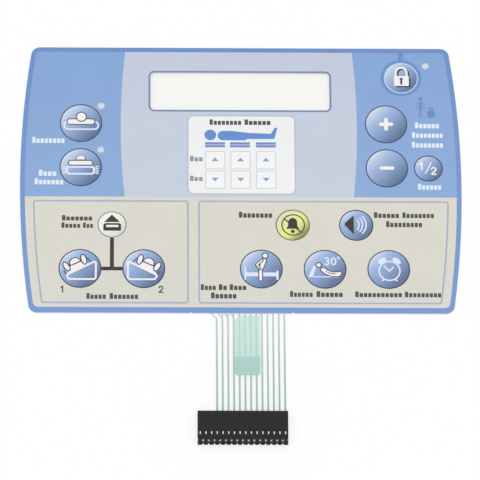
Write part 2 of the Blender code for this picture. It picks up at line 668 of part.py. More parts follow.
def make_circuit_layer(parent):
    """One film: the panel's area and its tail, with the traces as ridges."""
    bm = bmesh.new()
    root = [x for x, _ in tail_section(BOTTOM)]
    outline = panel_outline(root=root)
    low, window = fill(bm, [outline, window_outline()], CIRCUIT_Z)
    lid, window_lid = fill(bm, [outline, window_outline()],
                           CIRCUIT_Z + CIRCUIT_THICKNESS)
    at_root = [i for i, (x, y) in enumerate(outline)
               if x in root and y == BOTTOM]
    for lower, upper in ((low, lid), (window, window_lid)):
        for i in range(len(lower)):
            j = (i + 1) % len(lower)
            if lower is low and i in at_root and j in at_root:
                continue
            bm.faces.new((lower[i], lower[j], upper[j], upper[i]))

    below = [low[i] for i in at_root]
    above = [lid[i] for i in at_root]
    for y in tail_rows():
        z = CIRCUIT_Z + tail_height(y)
        section = tail_section(y)
        new_below = [bm.verts.new((x, y, z)) for x, _ in section]
        new_above = [bm.verts.new((x, y, z + CIRCUIT_THICKNESS + ridge))
                     for x, ridge in section]
        for i in range(len(section) - 1):
            bm.faces.new((above[i], new_above[i], new_above[i + 1],
                          above[i + 1]))
            bm.faces.new((below[i], below[i + 1], new_below[i + 1],
                          new_below[i]))
        for i in (0, -1):
            bm.faces.new((below[i], new_below[i], new_above[i], above[i]))
        below, above = new_below, new_above
    for i in range(len(below) - 1):
        bm.faces.new((below[i], below[i + 1], above[i + 1], above[i]))
    finish("circuit_layer", bm, MATERIALS["circuit"], parent)


def make_tail_cover(parent):
    """Green cover film that follows the tail, doubled at its far end."""
    left = TAIL_X - COVER_LEFT
    right = left + COVER_WIDTH
    start = BOTTOM - COVER_START
    end = HOUSING_REAR + COVER_END
    double = end + COVER_DOUBLE
    straight = start - COVER_CHAMFER
    # (y, left inset, right inset, plies) of each cross-section
    rows = [(start, COVER_CHAMFER, 0.0, 1)]
    rows += [(straight + (double - straight) * i / COVER_STEPS, 0.0, 0.0, 1)
             for i in range(COVER_STEPS + 1)]
    rows.append((double - COVER_FOLD, 0.0, 0.0, 2))
    for x, y in arc(0.0, end + COVER_RADIUS, COVER_RADIUS, 0.0, -math.pi / 2,
                    COVER_CORNER_STEPS):
        rows.append((y, COVER_RADIUS - x, COVER_RADIUS - x, 2))

    lift = CIRCUIT_Z + CIRCUIT_THICKNESS + TRACE_HEIGHT + COVER_GAP
    bm = bmesh.new()
    rings = []
    for y, inset_left, inset_right, plies in rows:
        z = lift + tail_height(y)
        top = z + plies * COVER_THICKNESS
        x0, x1 = left + inset_left, right - inset_right
        rings.append([bm.verts.new(p) for p in (
            (x0, y, z), (x1, y, z), (x1, y, top), (x0, y, top))])
    loft(bm, rings)
    finish("tail_cover_film", bm, MATERIALS["cover"], parent)


# Receptacle
def make_housing(parent):
    """Moulded body: tail slot, sixteen through cavities, grooved nose."""
    x0 = TAIL_X - HOUSING_WIDTH / 2
    x1 = TAIL_X + HOUSING_WIDTH / 2
    step_y = HOUSING_FRONT + STEP_LENGTH
    # side profile in (y, z), pushed across the width
    profile = [(HOUSING_REAR, HOUSING_EDGE),
               (HOUSING_REAR, HOUSING_HEIGHT - HOUSING_EDGE),
               (HOUSING_REAR - HOUSING_EDGE, HOUSING_HEIGHT),
               (step_y, HOUSING_HEIGHT), (step_y - STEP_DEPTH, HOUSING_NOSE),
               (HOUSING_FRONT + NOSE_EDGE, HOUSING_NOSE),
               (HOUSING_FRONT, HOUSING_NOSE - NOSE_EDGE),
               (HOUSING_FRONT, NOSE_EDGE), (HOUSING_FRONT + NOSE_EDGE, 0.0),
               (HOUSING_REAR - HOUSING_EDGE, 0.0)]
    bm = bmesh.new()
    loft(bm, [[bm.verts.new((x, y, z)) for y, z in profile]
              for x in (x0, x1)])
    housing = finish("connector_housing", bm, MATERIALS["housing"], parent)
    cut_tail_slot(housing, parent)
    cut_cavities(housing, parent)
    cut_windows(housing, parent)
    cut_grooves(housing, parent)


def cut_tail_slot(housing, parent):
    """The slot for the tail, open at the rear."""
    bm = bmesh.new()
    block(bm, (TAIL_X - SLOT_WIDTH / 2, TAIL_END - SLOT_END_GAP,
               HOUSING_MIDDLE - SLOT_HEIGHT / 2),
          (TAIL_X + SLOT_WIDTH / 2, HOUSING_REAR + PAST,
           HOUSING_MIDDLE + SLOT_HEIGHT / 2))
    cut(housing, "slot_cutter", bm, parent)


def cut_cavities(housing, parent):
    """A cavity for each contact, with a funnel at its mouth."""
    bm = bmesh.new()
    for x in WAY_X:
        rings = []
        for y, grow in ((HOUSING_FRONT - PAST, LEAD_IN + PAST),
                        (HOUSING_FRONT + LEAD_IN, 0.0),
                        (HOUSING_FRONT + CAVITY_DEPTH, 0.0)):
            w = CAVITY_WIDTH / 2 + grow
            h = CAVITY_HEIGHT / 2 + grow
            rings.append([bm.verts.new((x + sx * w, y,
                                        HOUSING_MIDDLE + sz * h))
                          for sx, sz in ((-1, -1), (1, -1), (1, 1), (-1, 1))])
        loft(bm, rings)
    cut(housing, "cavity_cutter", bm, parent)


def cut_windows(housing, parent):
    """The latch windows in the roof, and the keyway at each mouth."""
    roof = HOUSING_HEIGHT + PAST
    bm = bmesh.new()
    for x in WAY_X:
        block(bm, (x - LATCH_WINDOW_WIDTH / 2,
                   LATCH_Y - LATCH_WINDOW_LENGTH / 2, HOUSING_MIDDLE),
              (x + LATCH_WINDOW_WIDTH / 2,
               LATCH_Y + LATCH_WINDOW_LENGTH / 2, roof))
        block(bm, (x - KEYWAY_WIDTH / 2, HOUSING_FRONT - PAST,
                   HOUSING_MIDDLE),
              (x + KEYWAY_WIDTH / 2, HOUSING_FRONT + KEYWAY_LENGTH, roof))
    cut(housing, "window_cutter", bm, parent)


def cut_grooves(housing, parent):
    """Vee grooves between the mouths, on the roof and the floor."""
    half = GROOVE_WIDTH / 2
    half_floor = GROOVE_FLOOR / 2
    slope = GROOVE_DEPTH / GROOVE_LENGTH
    bm = bmesh.new()
    for a, b in zip(WAY_X, WAY_X[1:]):
        x = (a + b) / 2
        for face, into in ((HOUSING_NOSE, -1), (0.0, 1)):
            outside = face - into * PAST
            rings = []
            for y, deep in ((HOUSING_FRONT - PAST,
                             GROOVE_DEPTH + slope * PAST),
                            (HOUSING_FRONT + GROOVE_LENGTH, GROOVE_END)):
                rings.append([bm.verts.new(p) for p in (
                    (x - half, y, outside), (x + half, y, outside),
                    (x + half_floor, y, face + into * deep),
                    (x - half_floor, y, face + into * deep))])
            loft(bm, rings)
    cut(housing, "groove_cutter", bm, parent)


def make_contacts(parent):
    """Stamped contacts: jaws on the film, a latch and two spring beams."""
    metal = CONTACT_METAL
    film_low = HOUSING_MIDDLE - CIRCUIT_THICKNESS / 2 - CONTACT_GRIP
    film_high = (HOUSING_MIDDLE + CIRCUIT_THICKNESS / 2 + TRACE_HEIGHT
                 + CONTACT_GRIP)
    roof = HOUSING_MIDDLE + CAVITY_HEIGHT / 2 - CONTACT_ROOF_GAP
    floor = HOUSING_MIDDLE - CAVITY_HEIGHT / 2 + CONTACT_ROOF_GAP
    nose = HOUSING_FRONT + CONTACT_NOSE
    closest = nose + CONTACT_BEAM
    root = TAIL_END - CONTACT_GRIP
    bridge = root - CONTACT_BRIDGE
    jaw = TAIL_END + CONTACT_JAW
    latch_top = HOUSING_HEIGHT - LATCH_SINK
    latch_rear = LATCH_Y + LATCH_WINDOW_LENGTH / 2 - LATCH_PLAY
    latch_front = LATCH_Y - LATCH_WINDOW_LENGTH / 2 + LATCH_PLAY
    # side profile in (y, z), anticlockwise seen from +X
    profile = [
        (nose, floor), (bridge, floor),
        (root, film_low - metal), (jaw, film_low - metal), (jaw, film_low),
        (root, film_low), (root, film_high), (jaw, film_high),
        (jaw, film_high + metal), (root, film_high + metal),
        (bridge, roof), (latch_rear, roof),
        (latch_rear - LATCH_RAMP, latch_top),
        (latch_front, latch_top), (latch_front, roof),
        (nose, roof), (nose, roof - metal),
        (closest, roof - metal - CONTACT_PINCH), (bridge, roof - metal),
        (bridge, floor + metal), (closest, floor + metal + CONTACT_PINCH),
        (nose, floor + metal)]
    half = CONTACT_WIDTH / 2
    for i, x in enumerate(WAY_X):
        bm = bmesh.new()
        loft(bm, [[bm.verts.new((x + side * half, y, z))
                   for y, z in profile] for side in (-1, 1)])
        finish(f"contact_{i + 1:02d}", bm, MATERIALS["contact"], parent)


# Build
for old in list(bpy.data.objects):
    bpy.data.objects.remove(old, do_unlink=True)

MATERIALS = {
    "liner": material("liner_paper", (0.87, 0.86, 0.82), 0.6),
    "adhesive": material("adhesive", (0.90, 0.90, 0.86), 0.4, 0.0, 0.5),
    "circuit": material("polyester_film", (0.86, 0.94, 0.92), 0.25, 0.0, 0.4),
    "spacer": material("spacer_film", (0.92, 0.93, 0.92), 0.5),
    "dome": material("dome_film", (0.75, 0.75, 0.73), 0.35, 0.6),
    "led": material("led_body", (0.90, 0.92, 0.84), 0.3),
    "clear": material("clear_polyester", (0.95, 0.97, 0.98), 0.3, 0.0, 0.12),
    "border": material("ink_border_blue", (0.18, 0.29, 0.60), 0.5),
    "side_field": material("ink_side_blue", (0.26, 0.40, 0.69), 0.5),
    "centre_field": material("ink_grey_blue", (0.56, 0.62, 0.74), 0.5),
    "lower_field": material("ink_beige", (0.71, 0.71, 0.63), 0.5),
    "comfort": material("ink_white", (0.86, 0.87, 0.88), 0.5),
    "window_line": material("ink_window_line", (0.16, 0.28, 0.55), 0.5),
    "box_line": material("ink_box_line", (0.40, 0.50, 0.67), 0.5),
    "stem": material("ink_dark", (0.06, 0.06, 0.055), 0.5),
    "key_blue": material("ink_key_blue", (0.30, 0.42, 0.68), 0.5),
    "key_yellow": material("ink_key_yellow", (0.72, 0.76, 0.22), 0.5),
    "key_white": material("ink_key_white", (0.86, 0.86, 0.85), 0.5),
    "key_square": material("ink_key_grey", (0.78, 0.80, 0.84), 0.5),
    "cover": material("cover_green", (0.50, 0.74, 0.66), 0.35, 0.0, 0.7),
    "housing": material("black_plastic", (0.035, 0.033, 0.034), 0.45),
    "contact": material("pale_gold", (0.86, 0.80, 0.62), 0.25, 1.0),
}

keypad = bpy.data.objects.new("membrane_keypad", None)
bpy.context.scene.collection.objects.link(keypad)

make_sheets(keypad)
make_dome_sheet(keypad)
make_leds(keypad)
make_fields(keypad)
make_keys(keypad)
make_lines(keypad)
make_circuit_layer(keypad)
make_tail_cover(keypad)
make_housing(keypad)
make_contacts(keypad)
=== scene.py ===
"""Membrane keypad: the printed panel, its tail and receptacle, for a picture.

Lengths in this script are in millimetres and become metres where a mesh is
made.  X runs across the panel, Y up it and Z out of its face.
"""
import math

import bpy
from mathutils import Matrix, Vector
from mathutils.geometry import delaunay_2d_cdt


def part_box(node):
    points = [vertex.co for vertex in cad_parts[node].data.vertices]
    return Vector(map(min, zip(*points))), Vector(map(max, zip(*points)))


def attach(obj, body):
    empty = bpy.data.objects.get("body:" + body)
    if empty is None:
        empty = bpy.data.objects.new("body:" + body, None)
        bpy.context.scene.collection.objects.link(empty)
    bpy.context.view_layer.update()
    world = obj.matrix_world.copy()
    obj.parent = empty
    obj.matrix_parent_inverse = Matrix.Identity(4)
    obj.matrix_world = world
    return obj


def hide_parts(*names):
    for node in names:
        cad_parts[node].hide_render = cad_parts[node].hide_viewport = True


MM = 0.001

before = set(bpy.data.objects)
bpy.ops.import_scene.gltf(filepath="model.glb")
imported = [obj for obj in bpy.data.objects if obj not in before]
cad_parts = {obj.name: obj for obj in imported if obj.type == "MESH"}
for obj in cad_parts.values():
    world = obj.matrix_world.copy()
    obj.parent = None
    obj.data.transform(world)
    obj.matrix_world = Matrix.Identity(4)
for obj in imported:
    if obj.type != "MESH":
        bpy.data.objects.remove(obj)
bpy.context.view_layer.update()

# Camera, fitted to the panel's corners and keys in the photo
TARGET = (0.0, -0.3, 1.2)
AZIMUTH = math.radians(-2.703)
ELEVATION = math.radians(63.99)
ROLL = math.radians(2.644)
DISTANCE = 2475.9
FOCAL_LENGTH = 406.7            # on a 36 mm wide sensor
AIM_RIGHT = -0.42               # picture's middle from the target
AIM_UP = -27.68

# Light: together they give a level surface about its own colour
WORLD_LEVEL = 0.78
SUN_LEVEL = 0.22
SUN_AZIMUTH = math.radians(-95.0)
SUN_ELEVATION = math.radians(62.0)
SUN_SOFTNESS = math.radians(20.0)
FLOOR_GLOW = 0.65               # share of the floor that shows as plain white

# What isn't placed by a CAD node was measured this much too high
PRINT_PLACE = (0.0, -0.3)

# Lower and upper face of the signs and labels, just over the field inks
DETAIL_LOW = 0.975
DETAIL_HIGH = 0.995

# How much the clear overlay lightens and dims what lies under it
FILM_ALPHA = 0.02
FILM_HAZE = 0.05
FILM_CLEAR = 0.93

# Tail, as in the part's own source
PANEL_BOTTOM = -67.25
TAIL_REACH = 49.1
TAIL_LEVEL = 0.30
TAIL_RISEN = 0.95
TAIL_STEPS = 10
TAIL_ROOT = 0.1
FILM_LOW = 0.23
FILM_THICKNESS = 0.125
SEAT_HEIGHT = 1.8               # the film's middle in the receptacle
TAIL_RISE = SEAT_HEIGHT - FILM_THICKNESS / 2 - FILM_LOW
PITCH = 2.54
TRACES = 13
FIRST_TRACE_X = -11.28
TRACE_HALF = 0.40               # of the ink, a little less than its ridge
BENT_TRACES = 4
TRACE_BEND = 2.4
BEND_TAPER = 0.2
TRACE_LIFT = 0.022              # above the film, just over its ridge
TRACE_INK = 0.008
TRACE_END = -118.0
COVER_LOW = -98.05              # the green cover film's ends and fold
COVER_FOLD = -88.95
COVER_HIGH = -68.25
NOSE_SHADE_DEEPEST = -131.0              # painted shade on the contacts' noses deepens towards here
NOSE_SHADE_ENDS = -128.5
TINT_LOW = -117.0               # between these the traces change colour
TINT_HIGH = -67.0

# Receptacle
CONTACTS = 16
SIDE_SHADE_STARTS = 0.15           # across from a contact's middle: painted shade on its sides starts, then is full
SIDE_SHADE_DEEPEST = 0.3
GLINT_FULL = 0.32               # across from a groove's middle: its painted highlight is full, then gone
GLINT_GONE = 0.52
GLINT_START = (-131.05, -130.85)    # where a painted highlight fades in, up the panel
GLINT_END = (-130.45, -130.25)      # and where it fades out

# Where the slow changes of colour on the panel start and end
FIELD_BOTTOM = -65.0
FIELD_SPLIT = -8.8
FIELD_TOP = 65.0
BORDER_REACH = 67.0

# Directions along which a colour changes
ACROSS = (1.0, 0.0, 0.0)
UPWARDS = (0.0, 1.0, 0.0)

FLOOR_REACH = 3000.0
FLOOR_LEVEL = -0.02

ROUND_STEPS = 84
DOT_STEPS = 28
CAP_STEPS = 6


# Colours
def linear(code):
    """A screen colour such as 8aa8cd as linear red, green and blue."""
    parts = [int(code[i:i + 2], 16) / 255 for i in (0, 2, 4)]
    return [c / 12.92 if c <= 0.04045 else ((c + 0.055) / 1.055) ** 2.4
            for c in parts]


def under_film(code):
    """The ink that shows as this colour through the clear overlay."""
    return [min(max((c - FILM_HAZE) / FILM_CLEAR, 0.0), 1.0)
            for c in linear(code)]


# Materials
def new_material(name, roughness, specular=0.5, metallic=0.0):
    """A new material, its node tree and its shader."""
    mat = bpy.data.materials.new(name)
    mat.use_nodes = True
    shader = mat.node_tree.nodes["Principled BSDF"]
    shader.inputs["Roughness"].default_value = roughness
    shader.inputs["Specular IOR Level"].default_value = specular
    shader.inputs["Metallic"].default_value = metallic
    return mat, mat.node_tree, shader


def object_position(tree):
    """Where a point lies, from its object's own origin."""
    return tree.nodes.new("ShaderNodeTexCoord").outputs["Object"]


def noise(tree, position, scale, detail=3.0, stretch=(1.0, 1.0, 1.0)):
    """A noise value; scale is in cells per metre."""
    mapping = tree.nodes.new("ShaderNodeMapping")
    mapping.inputs["Scale"].default_value = stretch
    tree.links.new(position, mapping.inputs["Vector"])
    texture = tree.nodes.new("ShaderNodeTexNoise")
    texture.inputs["Scale"].default_value = scale
    texture.inputs["Detail"].default_value = detail
    tree.links.new(mapping.outputs["Vector"], texture.inputs["Vector"])
    return texture.outputs["Fac"]


def spread(tree, value, low, high, from_low=0.3, from_high=0.7):
    """The value spread from one range to another."""
    node = tree.nodes.new("ShaderNodeMapRange")
    tree.links.new(value, node.inputs["Value"])
    node.inputs["From Min"].default_value = from_low
    node.inputs["From Max"].default_value = from_high
    node.inputs["To Min"].default_value = low
    node.inputs["To Max"].default_value = high
    return node.outputs["Result"]


def ramp(tree, value, stops):
    """A colour for each value from 0 to 1; stops are (place, colour)."""
    node = tree.nodes.new("ShaderNodeValToRGB")
    elements = node.color_ramp.elements
    while len(elements) < len(stops):
        elements.new(0.5)
    for element, (place, colour) in zip(elements, stops):
        element.position = place
        element.color = (*colour, 1.0)
    tree.links.new(value, node.inputs["Fac"])
    return node.outputs["Color"]


def along(tree, position, direction, low, high):
    """How far a point lies along a direction, 0 at low and 1 at high."""
    dot = tree.nodes.new("ShaderNodeVectorMath")
    dot.operation = "DOT_PRODUCT"
    tree.links.new(position, dot.inputs[0])
    dot.inputs[1].default_value = direction
    return spread(tree, dot.outputs["Value"], 0.0, 1.0, low * MM, high * MM)


def shade(tree, colour, value):
    """The colour times the value."""
    node = tree.nodes.new("ShaderNodeVectorMath")
    node.operation = "SCALE"
    tree.links.new(colour, node.inputs[0])
    tree.links.new(value, node.inputs["Scale"])
    return node.outputs["Vector"]


def combine(tree, operation, first, second):
    """One step of arithmetic on two values."""
    node = tree.nodes.new("ShaderNodeMath")
    node.operation = operation
    tree.links.new(first, node.inputs[0])
    tree.links.new(second, node.inputs[1])
    return node.outputs["Value"]


def scaled(tree, value, factor, start=0.0):
    """start plus factor times the value."""
    node = tree.nodes.new("ShaderNodeMath")
    node.operation = "MULTIPLY_ADD"
    tree.links.new(value, node.inputs[0])
    node.inputs[1].default_value = factor
    node.inputs[2].default_value = start
    return node.outputs["Value"]


def bump(tree, shader, value, height):
    """Fine relief from the value; height is in millimetres."""
    node = tree.nodes.new("ShaderNodeBump")
    node.inputs["Strength"].default_value = 0.5
    node.inputs["Distance"].default_value = height * MM
    tree.links.new(value, node.inputs["Height"])
    tree.links.new(node.outputs["Normal"], shader.inputs["Normal"])


INK_ROUGHNESS = 0.42
INK_GLOSS = 0.35
INK_GRAIN = 0.02


def ink(name, stops, direction=UPWARDS, low=-70.0, high=70.0):
    """A printed ink: a slow change of colour, fine grain and faint mottle."""
    mat, tree, shader = new_material(name, INK_ROUGHNESS, INK_GLOSS)
    position = object_position(tree)
    colour = ramp(tree, along(tree, position, direction, low, high), stops)
    fine = spread(tree, noise(tree, position, 9000.0),
                  1 - INK_GRAIN, 1 + INK_GRAIN)
    slow = spread(tree, noise(tree, position, 60.0),
                  1 - INK_GRAIN, 1 + INK_GRAIN / 2)
    colour = shade(tree, shade(tree, colour, fine), slow)
    tree.links.new(colour, shader.inputs["Base Color"])
    bump(tree, shader, noise(tree, position, 4000.0), 0.004)
    return mat


def flat_ink(name, code):
    """An ink in one colour."""
    colour = under_film(code)
    return ink(name, [(0.0, colour), (1.0, colour)])


def even_stops(codes):
    """Ink colours at even steps from 0 to 1."""
    last = len(codes) - 1
    return [(i / last, under_film(code)) for i, code in enumerate(codes)]


def field_ink(name, codes, low, high):
    """An ink whose colour changes slowly from low to high on the panel."""
    return ink(name, even_stops(codes), low=low, high=high)


def key_ink(name, codes, radius):
    """The moulded look printed on a key, from lower right to upper left."""
    return ink(name, even_stops(codes), (-math.sqrt(0.5), math.sqrt(0.5), 0.0),
               -radius, radius)


def speckled(name, low_code, high_code, scale, roughness, metallic=0.0):
    """A body material: mottled between two colours, with a fine relief."""
    mat, tree, shader = new_material(name, roughness, metallic=metallic)
    position = object_position(tree)
    pattern = noise(tree, position, scale, 5.0)
    colour = ramp(tree, spread(tree, pattern, 0.0, 1.0),
                  [(0.0, linear(low_code)), (1.0, linear(high_code))])
    tree.links.new(colour, shader.inputs["Base Color"])
    bump(tree, shader, noise(tree, position, scale * 3), 0.01)
    return mat


def tail_film_material():
    """Nearly clear film, tinted where it carries the traces."""
    mat, tree, shader = new_material("tail_film", 0.28)
    position = object_position(tree)
    across = along(tree, position, ACROSS, -20.0, 20.0)
    spots = (0.0, 0.17, 0.21, 1.0)
    clear, tint = linear("f6fffc"), linear("c9fff0")
    colour = ramp(tree, across, list(zip(spots, (clear, clear, tint, tint))))
    tree.links.new(colour, shader.inputs["Base Color"])
    thin, dense = (0.012,) * 3, (0.02,) * 3
    alpha = ramp(tree, across, list(zip(spots, (thin, thin, dense, dense))))
    tree.links.new(alpha, shader.inputs["Alpha"])
    bump(tree, shader, noise(tree, position, 700.0), 0.01)
    return mat


def cover_material():
    """Green film: pale where single, darker where it is doubled."""
    mat, tree, shader = new_material("tail_cover", 0.35)
    position = object_position(tree)
    length = along(tree, position, UPWARDS, COVER_LOW, COVER_HIGH)
    fold = (COVER_FOLD - COVER_LOW) / (COVER_HIGH - COVER_LOW)
    spots = (0.0, fold, fold + 0.02, 1.0)
    codes = ("b2dbd2", "b8dfd7", "d0f3ea", "dbf8f1")
    colour = ramp(tree, length, [(spot, linear(code))
                                 for spot, code in zip(spots, codes)])
    fine = spread(tree, noise(tree, position, 3000.0), 0.98, 1.02)
    tree.links.new(shade(tree, colour, fine), shader.inputs["Base Color"])
    levels = (0.85, 0.85, 0.6, 0.55)
    alpha = ramp(tree, length, [(spot, (level,) * 3)
                                for spot, level in zip(spots, levels)])
    tree.links.new(alpha, shader.inputs["Alpha"])
    bump(tree, shader, noise(tree, position, 900.0), 0.01)
    return mat


def trace_material():
    """Printed silver, a little darker towards the receptacle."""
    mat, tree, shader = new_material("trace_silver", 0.45, 0.4, 0.15)
    position = object_position(tree)
    colour = ramp(tree, along(tree, position, UPWARDS, TINT_LOW, TINT_HIGH),
                  [(0.0, linear("9cbab0")), (0.5, linear("b0c5bd")),
                   (1.0, linear("ccd3d0"))])
    fine = spread(tree, noise(tree, position, 6000.0), 0.95, 1.05)
    tree.links.new(shade(tree, colour, fine), shader.inputs["Base Color"])
    return mat


def contact_material():
    """Bright plating, with painted shade at its rounded sides and deep in the
    cavities.
    """
    mat, tree, shader = new_material("contact_plating_painted_shade", 0.35, 0.5, 0.35)
    position = object_position(tree)
    pattern = noise(tree, position, 3000.0, 5.0, (1.0, 0.2, 1.0))
    colour = ramp(tree, spread(tree, pattern, 0.0, 1.0),
                  [(0.0, linear("f4eedc")), (1.0, linear("fffaf0"))])
    # painted shade: the noses darken deep in the cavities, and the sides darken away
    # from each contact's middle
    length = along(tree, position, UPWARDS, NOSE_SHADE_DEEPEST, NOSE_SHADE_ENDS)
    level = spread(tree, length, 0.05, 1.0, 0.0, 1.0)
    aside = distance_to(tree, position, node_centre("contact_01")[0])
    sides = spread(tree, aside, 1.0, 0.35,
                   SIDE_SHADE_STARTS * MM, SIDE_SHADE_DEEPEST * MM)
    tree.links.new(shade(tree, shade(tree, colour, level), sides),
                   shader.inputs["Base Color"])
    bump(tree, shader, noise(tree, position, 9000.0), 0.004)
    return mat


def distance_to(tree, position, middle):
    """How far a point is across from the nearest of places a pitch apart."""
    split = tree.nodes.new("ShaderNodeSeparateXYZ")
    tree.links.new(position, split.inputs["Vector"])
    fold = tree.nodes.new("ShaderNodeMath")
    fold.operation = "PINGPONG"
    tree.links.new(scaled(tree, split.outputs["X"], 1.0, -middle * MM),
                   fold.inputs[0])
    fold.inputs[1].default_value = PITCH / 2 * MM
    return fold.outputs["Value"]


def housing_material():
    """Black plastic, with painted highlights where the grooves between the ways
    catch light.
    """
    mat, tree, shader = new_material("black_plastic", 0.4, 0.3)
    position = object_position(tree)
    between = node_centre("contact_01")[0] + PITCH / 2
    across = spread(tree, distance_to(tree, position, between), 1.0, 0.0,
                    GLINT_FULL * MM, GLINT_GONE * MM)
    front = along(tree, position, UPWARDS, *GLINT_START)
    back = spread(tree, along(tree, position, UPWARDS, *GLINT_END),
                  1.0, 0.0, 0.0, 1.0)
    # painted highlight: a grey-white glint in each groove between the ways
    painted_glint = combine(tree, "MULTIPLY", across,
                    combine(tree, "MULTIPLY", front, back))
    mottle = spread(tree, noise(tree, position, 5000.0, 5.0), 0.0, 0.1)
    colour = ramp(tree, combine(tree, "ADD", mottle, painted_glint),
                  [(0.0, linear("1b191a")), (0.1, linear("242223")),
                   (1.0, linear("c8c8ce"))])
    tree.links.new(colour, shader.inputs["Base Color"])
    bump(tree, shader, noise(tree, position, 15000.0), 0.012)
    return mat


def film_material():
    """Clear satin polyester over the whole print."""
    mat, tree, shader = new_material("clear_overlay", 0.3)
    position = object_position(tree)
    colour = ramp(tree, noise(tree, position, 40.0),
                  [(0.0, linear("f4f7fa")), (1.0, linear("fbfcfd"))])
    tree.links.new(colour, shader.inputs["Base Color"])
    shader.inputs["Alpha"].default_value = FILM_ALPHA
    bump(tree, shader, noise(tree, position, 5000.0), 0.003)
    return mat


# Flat shapes: closed outlines, anticlockwise, in millimetres
def ellipse(x, y, rx, ry, tilt=0.0, steps=DOT_STEPS):
    """An ellipse about x, y, leant by tilt radians."""
    points = []
    for i in range(steps):
        angle = 2 * math.pi * i / steps
        across, up = rx * math.cos(angle), ry * math.sin(angle)
        points.append((x + across * math.cos(tilt) - up * math.sin(tilt),
                       y + across * math.sin(tilt) + up * math.cos(tilt)))
    return points


def disc(x, y, radius, steps=DOT_STEPS):
    """A full circle about x, y."""
    return ellipse(x, y, radius, radius, 0.0, steps)


def bar(x0, y0, x1, y1, radius=0.0):
    """A rectangle between two corners, with rounded corners of its own."""
    radius = min(radius, (x1 - x0) / 2, (y1 - y0) / 2)
    if radius <= 0:
        return [(x0, y0), (x1, y0), (x1, y1), (x0, y1)]
    points = []
    for i, (cx, cy) in enumerate(((x1 - radius, y1 - radius),
                                  (x0 + radius, y1 - radius),
                                  (x0 + radius, y0 + radius),
                                  (x1 - radius, y0 + radius))):
        for step in range(CAP_STEPS + 1):
            angle = (i + step / CAP_STEPS) * math.pi / 2
            points.append((cx + radius * math.cos(angle),
                           cy + radius * math.sin(angle)))
    return points


def capsule(a, b, width):
    """A straight stroke with round ends."""
    lean = math.atan2(b[1] - a[1], b[0] - a[0])
    points = []
    for (x, y), start in ((b, lean - math.pi / 2), (a, lean + math.pi / 2)):
        for step in range(CAP_STEPS + 1):
            angle = start + step / CAP_STEPS * math.pi
            points.append((x + width / 2 * math.cos(angle),
                           y + width / 2 * math.sin(angle)))
    return points


def stroke(name, points, width, closed=False):
    """A line in one ink through the points."""
    if closed:
        points = [*points, points[0]]
    return [(name, capsule(a, b, width)) for a, b in zip(points, points[1:])]


def arc(x, y, radius, start, end, steps=10):
    """Points along an arc; angles in degrees."""
    angles = [math.radians(start + (end - start) * i / steps)
              for i in range(steps + 1)]
    return [(x + radius * math.cos(angle), y + radius * math.sin(angle))
            for angle in angles]


DISC_RIM = 0.5
LINE_RIM = 0.45


def outlined(shape, inner):
    """A shape in the rim's ink with a smaller white one on it."""
    return [("rim", shape), ("white", inner)]


def white_disc(x, y, radius):
    """A white disc with a dark rim."""
    return outlined(disc(x, y, radius), disc(x, y, radius - DISC_RIM))


def white_bar(x0, y0, x1, y1, radius):
    """A white bar with a dark rim."""
    inner = bar(x0 + LINE_RIM, y0 + LINE_RIM, x1 - LINE_RIM, y1 - LINE_RIM,
                radius - LINE_RIM)
    return outlined(bar(x0, y0, x1, y1, radius), inner)


def white_line(points, width):
    """A white stroke with a dark rim."""
    return (stroke("rim", points, width + 2 * LINE_RIM)
            + stroke("white", points, width))


def mirrored(layers):
    """The layers turned left to right."""
    return [(name, [(-x, y) for x, y in reversed(points)])
            for name, points in layers]


def moved(layers, dx, dy):
    """The layers in another place."""
    return [(name, [(x + dx, y + dy) for x, y in points])
            for name, points in layers]


# Numbers, drawn in a box one unit high
NUMBERS = {
    "0": ([[*ellipse(0.3, 0.5, 0.28, 0.48, steps=16), (0.58, 0.5)]], 0.6),
    "1": ([[(0.08, 0.78), (0.32, 1.0), (0.32, 0.0)]], 0.5),
    "2": ([[*arc(0.3, 0.72, 0.28, 170, -30, 8), (0.02, 0.0), (0.6, 0.0)]],
          0.6),
    "3": ([arc(0.28, 0.76, 0.24, 150, -90, 8),
           arc(0.28, 0.26, 0.26, 90, -150, 8)], 0.58),
}
NUMBER_SPACE = 0.28


def number(text, x, y, height, name="white", width=0.6):
    """A plain number whose lower left corner is at x, y."""
    layers = []
    for letter in text:
        lines, advance = NUMBERS[letter]
        for line in lines:
            layers += stroke(name, [(x + px * height, y + py * height)
                                    for px, py in line], width)
        x += (advance + NUMBER_SPACE) * height
    return layers


# Making pieces
def printed(name, centre, layers, inks, slot, low=DETAIL_LOW,
            high=DETAIL_HIGH, stands_for=None):
    """One thin print in several inks; later layers cover earlier ones."""
    points, faces = [], []
    for _, outline in layers:
        start = len(points)
        points += [Vector(p) for p in outline]
        faces.append(list(range(start, len(points))))
    found = delaunay_2d_cdt(points, [], faces, 1, 1e-4)
    flat, triangles, sources = found[0], found[2], found[5]

    names = list(dict.fromkeys(layer[0] for layer in layers))
    verts = [(p.x * MM, p.y * MM, z * MM) for z in (high, low) for p in flat]
    count = len(flat)
    polygons, materials, edges = [], [], {}
    for corners, source in zip(triangles, sources):
        if not source:
            continue
        top = names.index(layers[max(source)][0])
        polygons += [list(corners), [c + count for c in reversed(corners)]]
        materials += [top, top]
        for a, b in zip(corners, [*corners[1:], corners[0]]):
            edges[(a, b)] = top
    for (a, b), top in edges.items():
        if (b, a) not in edges:
            polygons.append([b, a, a + count, b + count])
            materials.append(top)

    mesh = bpy.data.meshes.new(name)
    mesh.from_pydata(verts, [], polygons)
    for layer_name in names:
        mesh.materials.append(inks[layer_name])
    mesh.polygons.foreach_set("material_index", materials)
    mesh.update()
    place(name, mesh, centre, slot, stands_for)


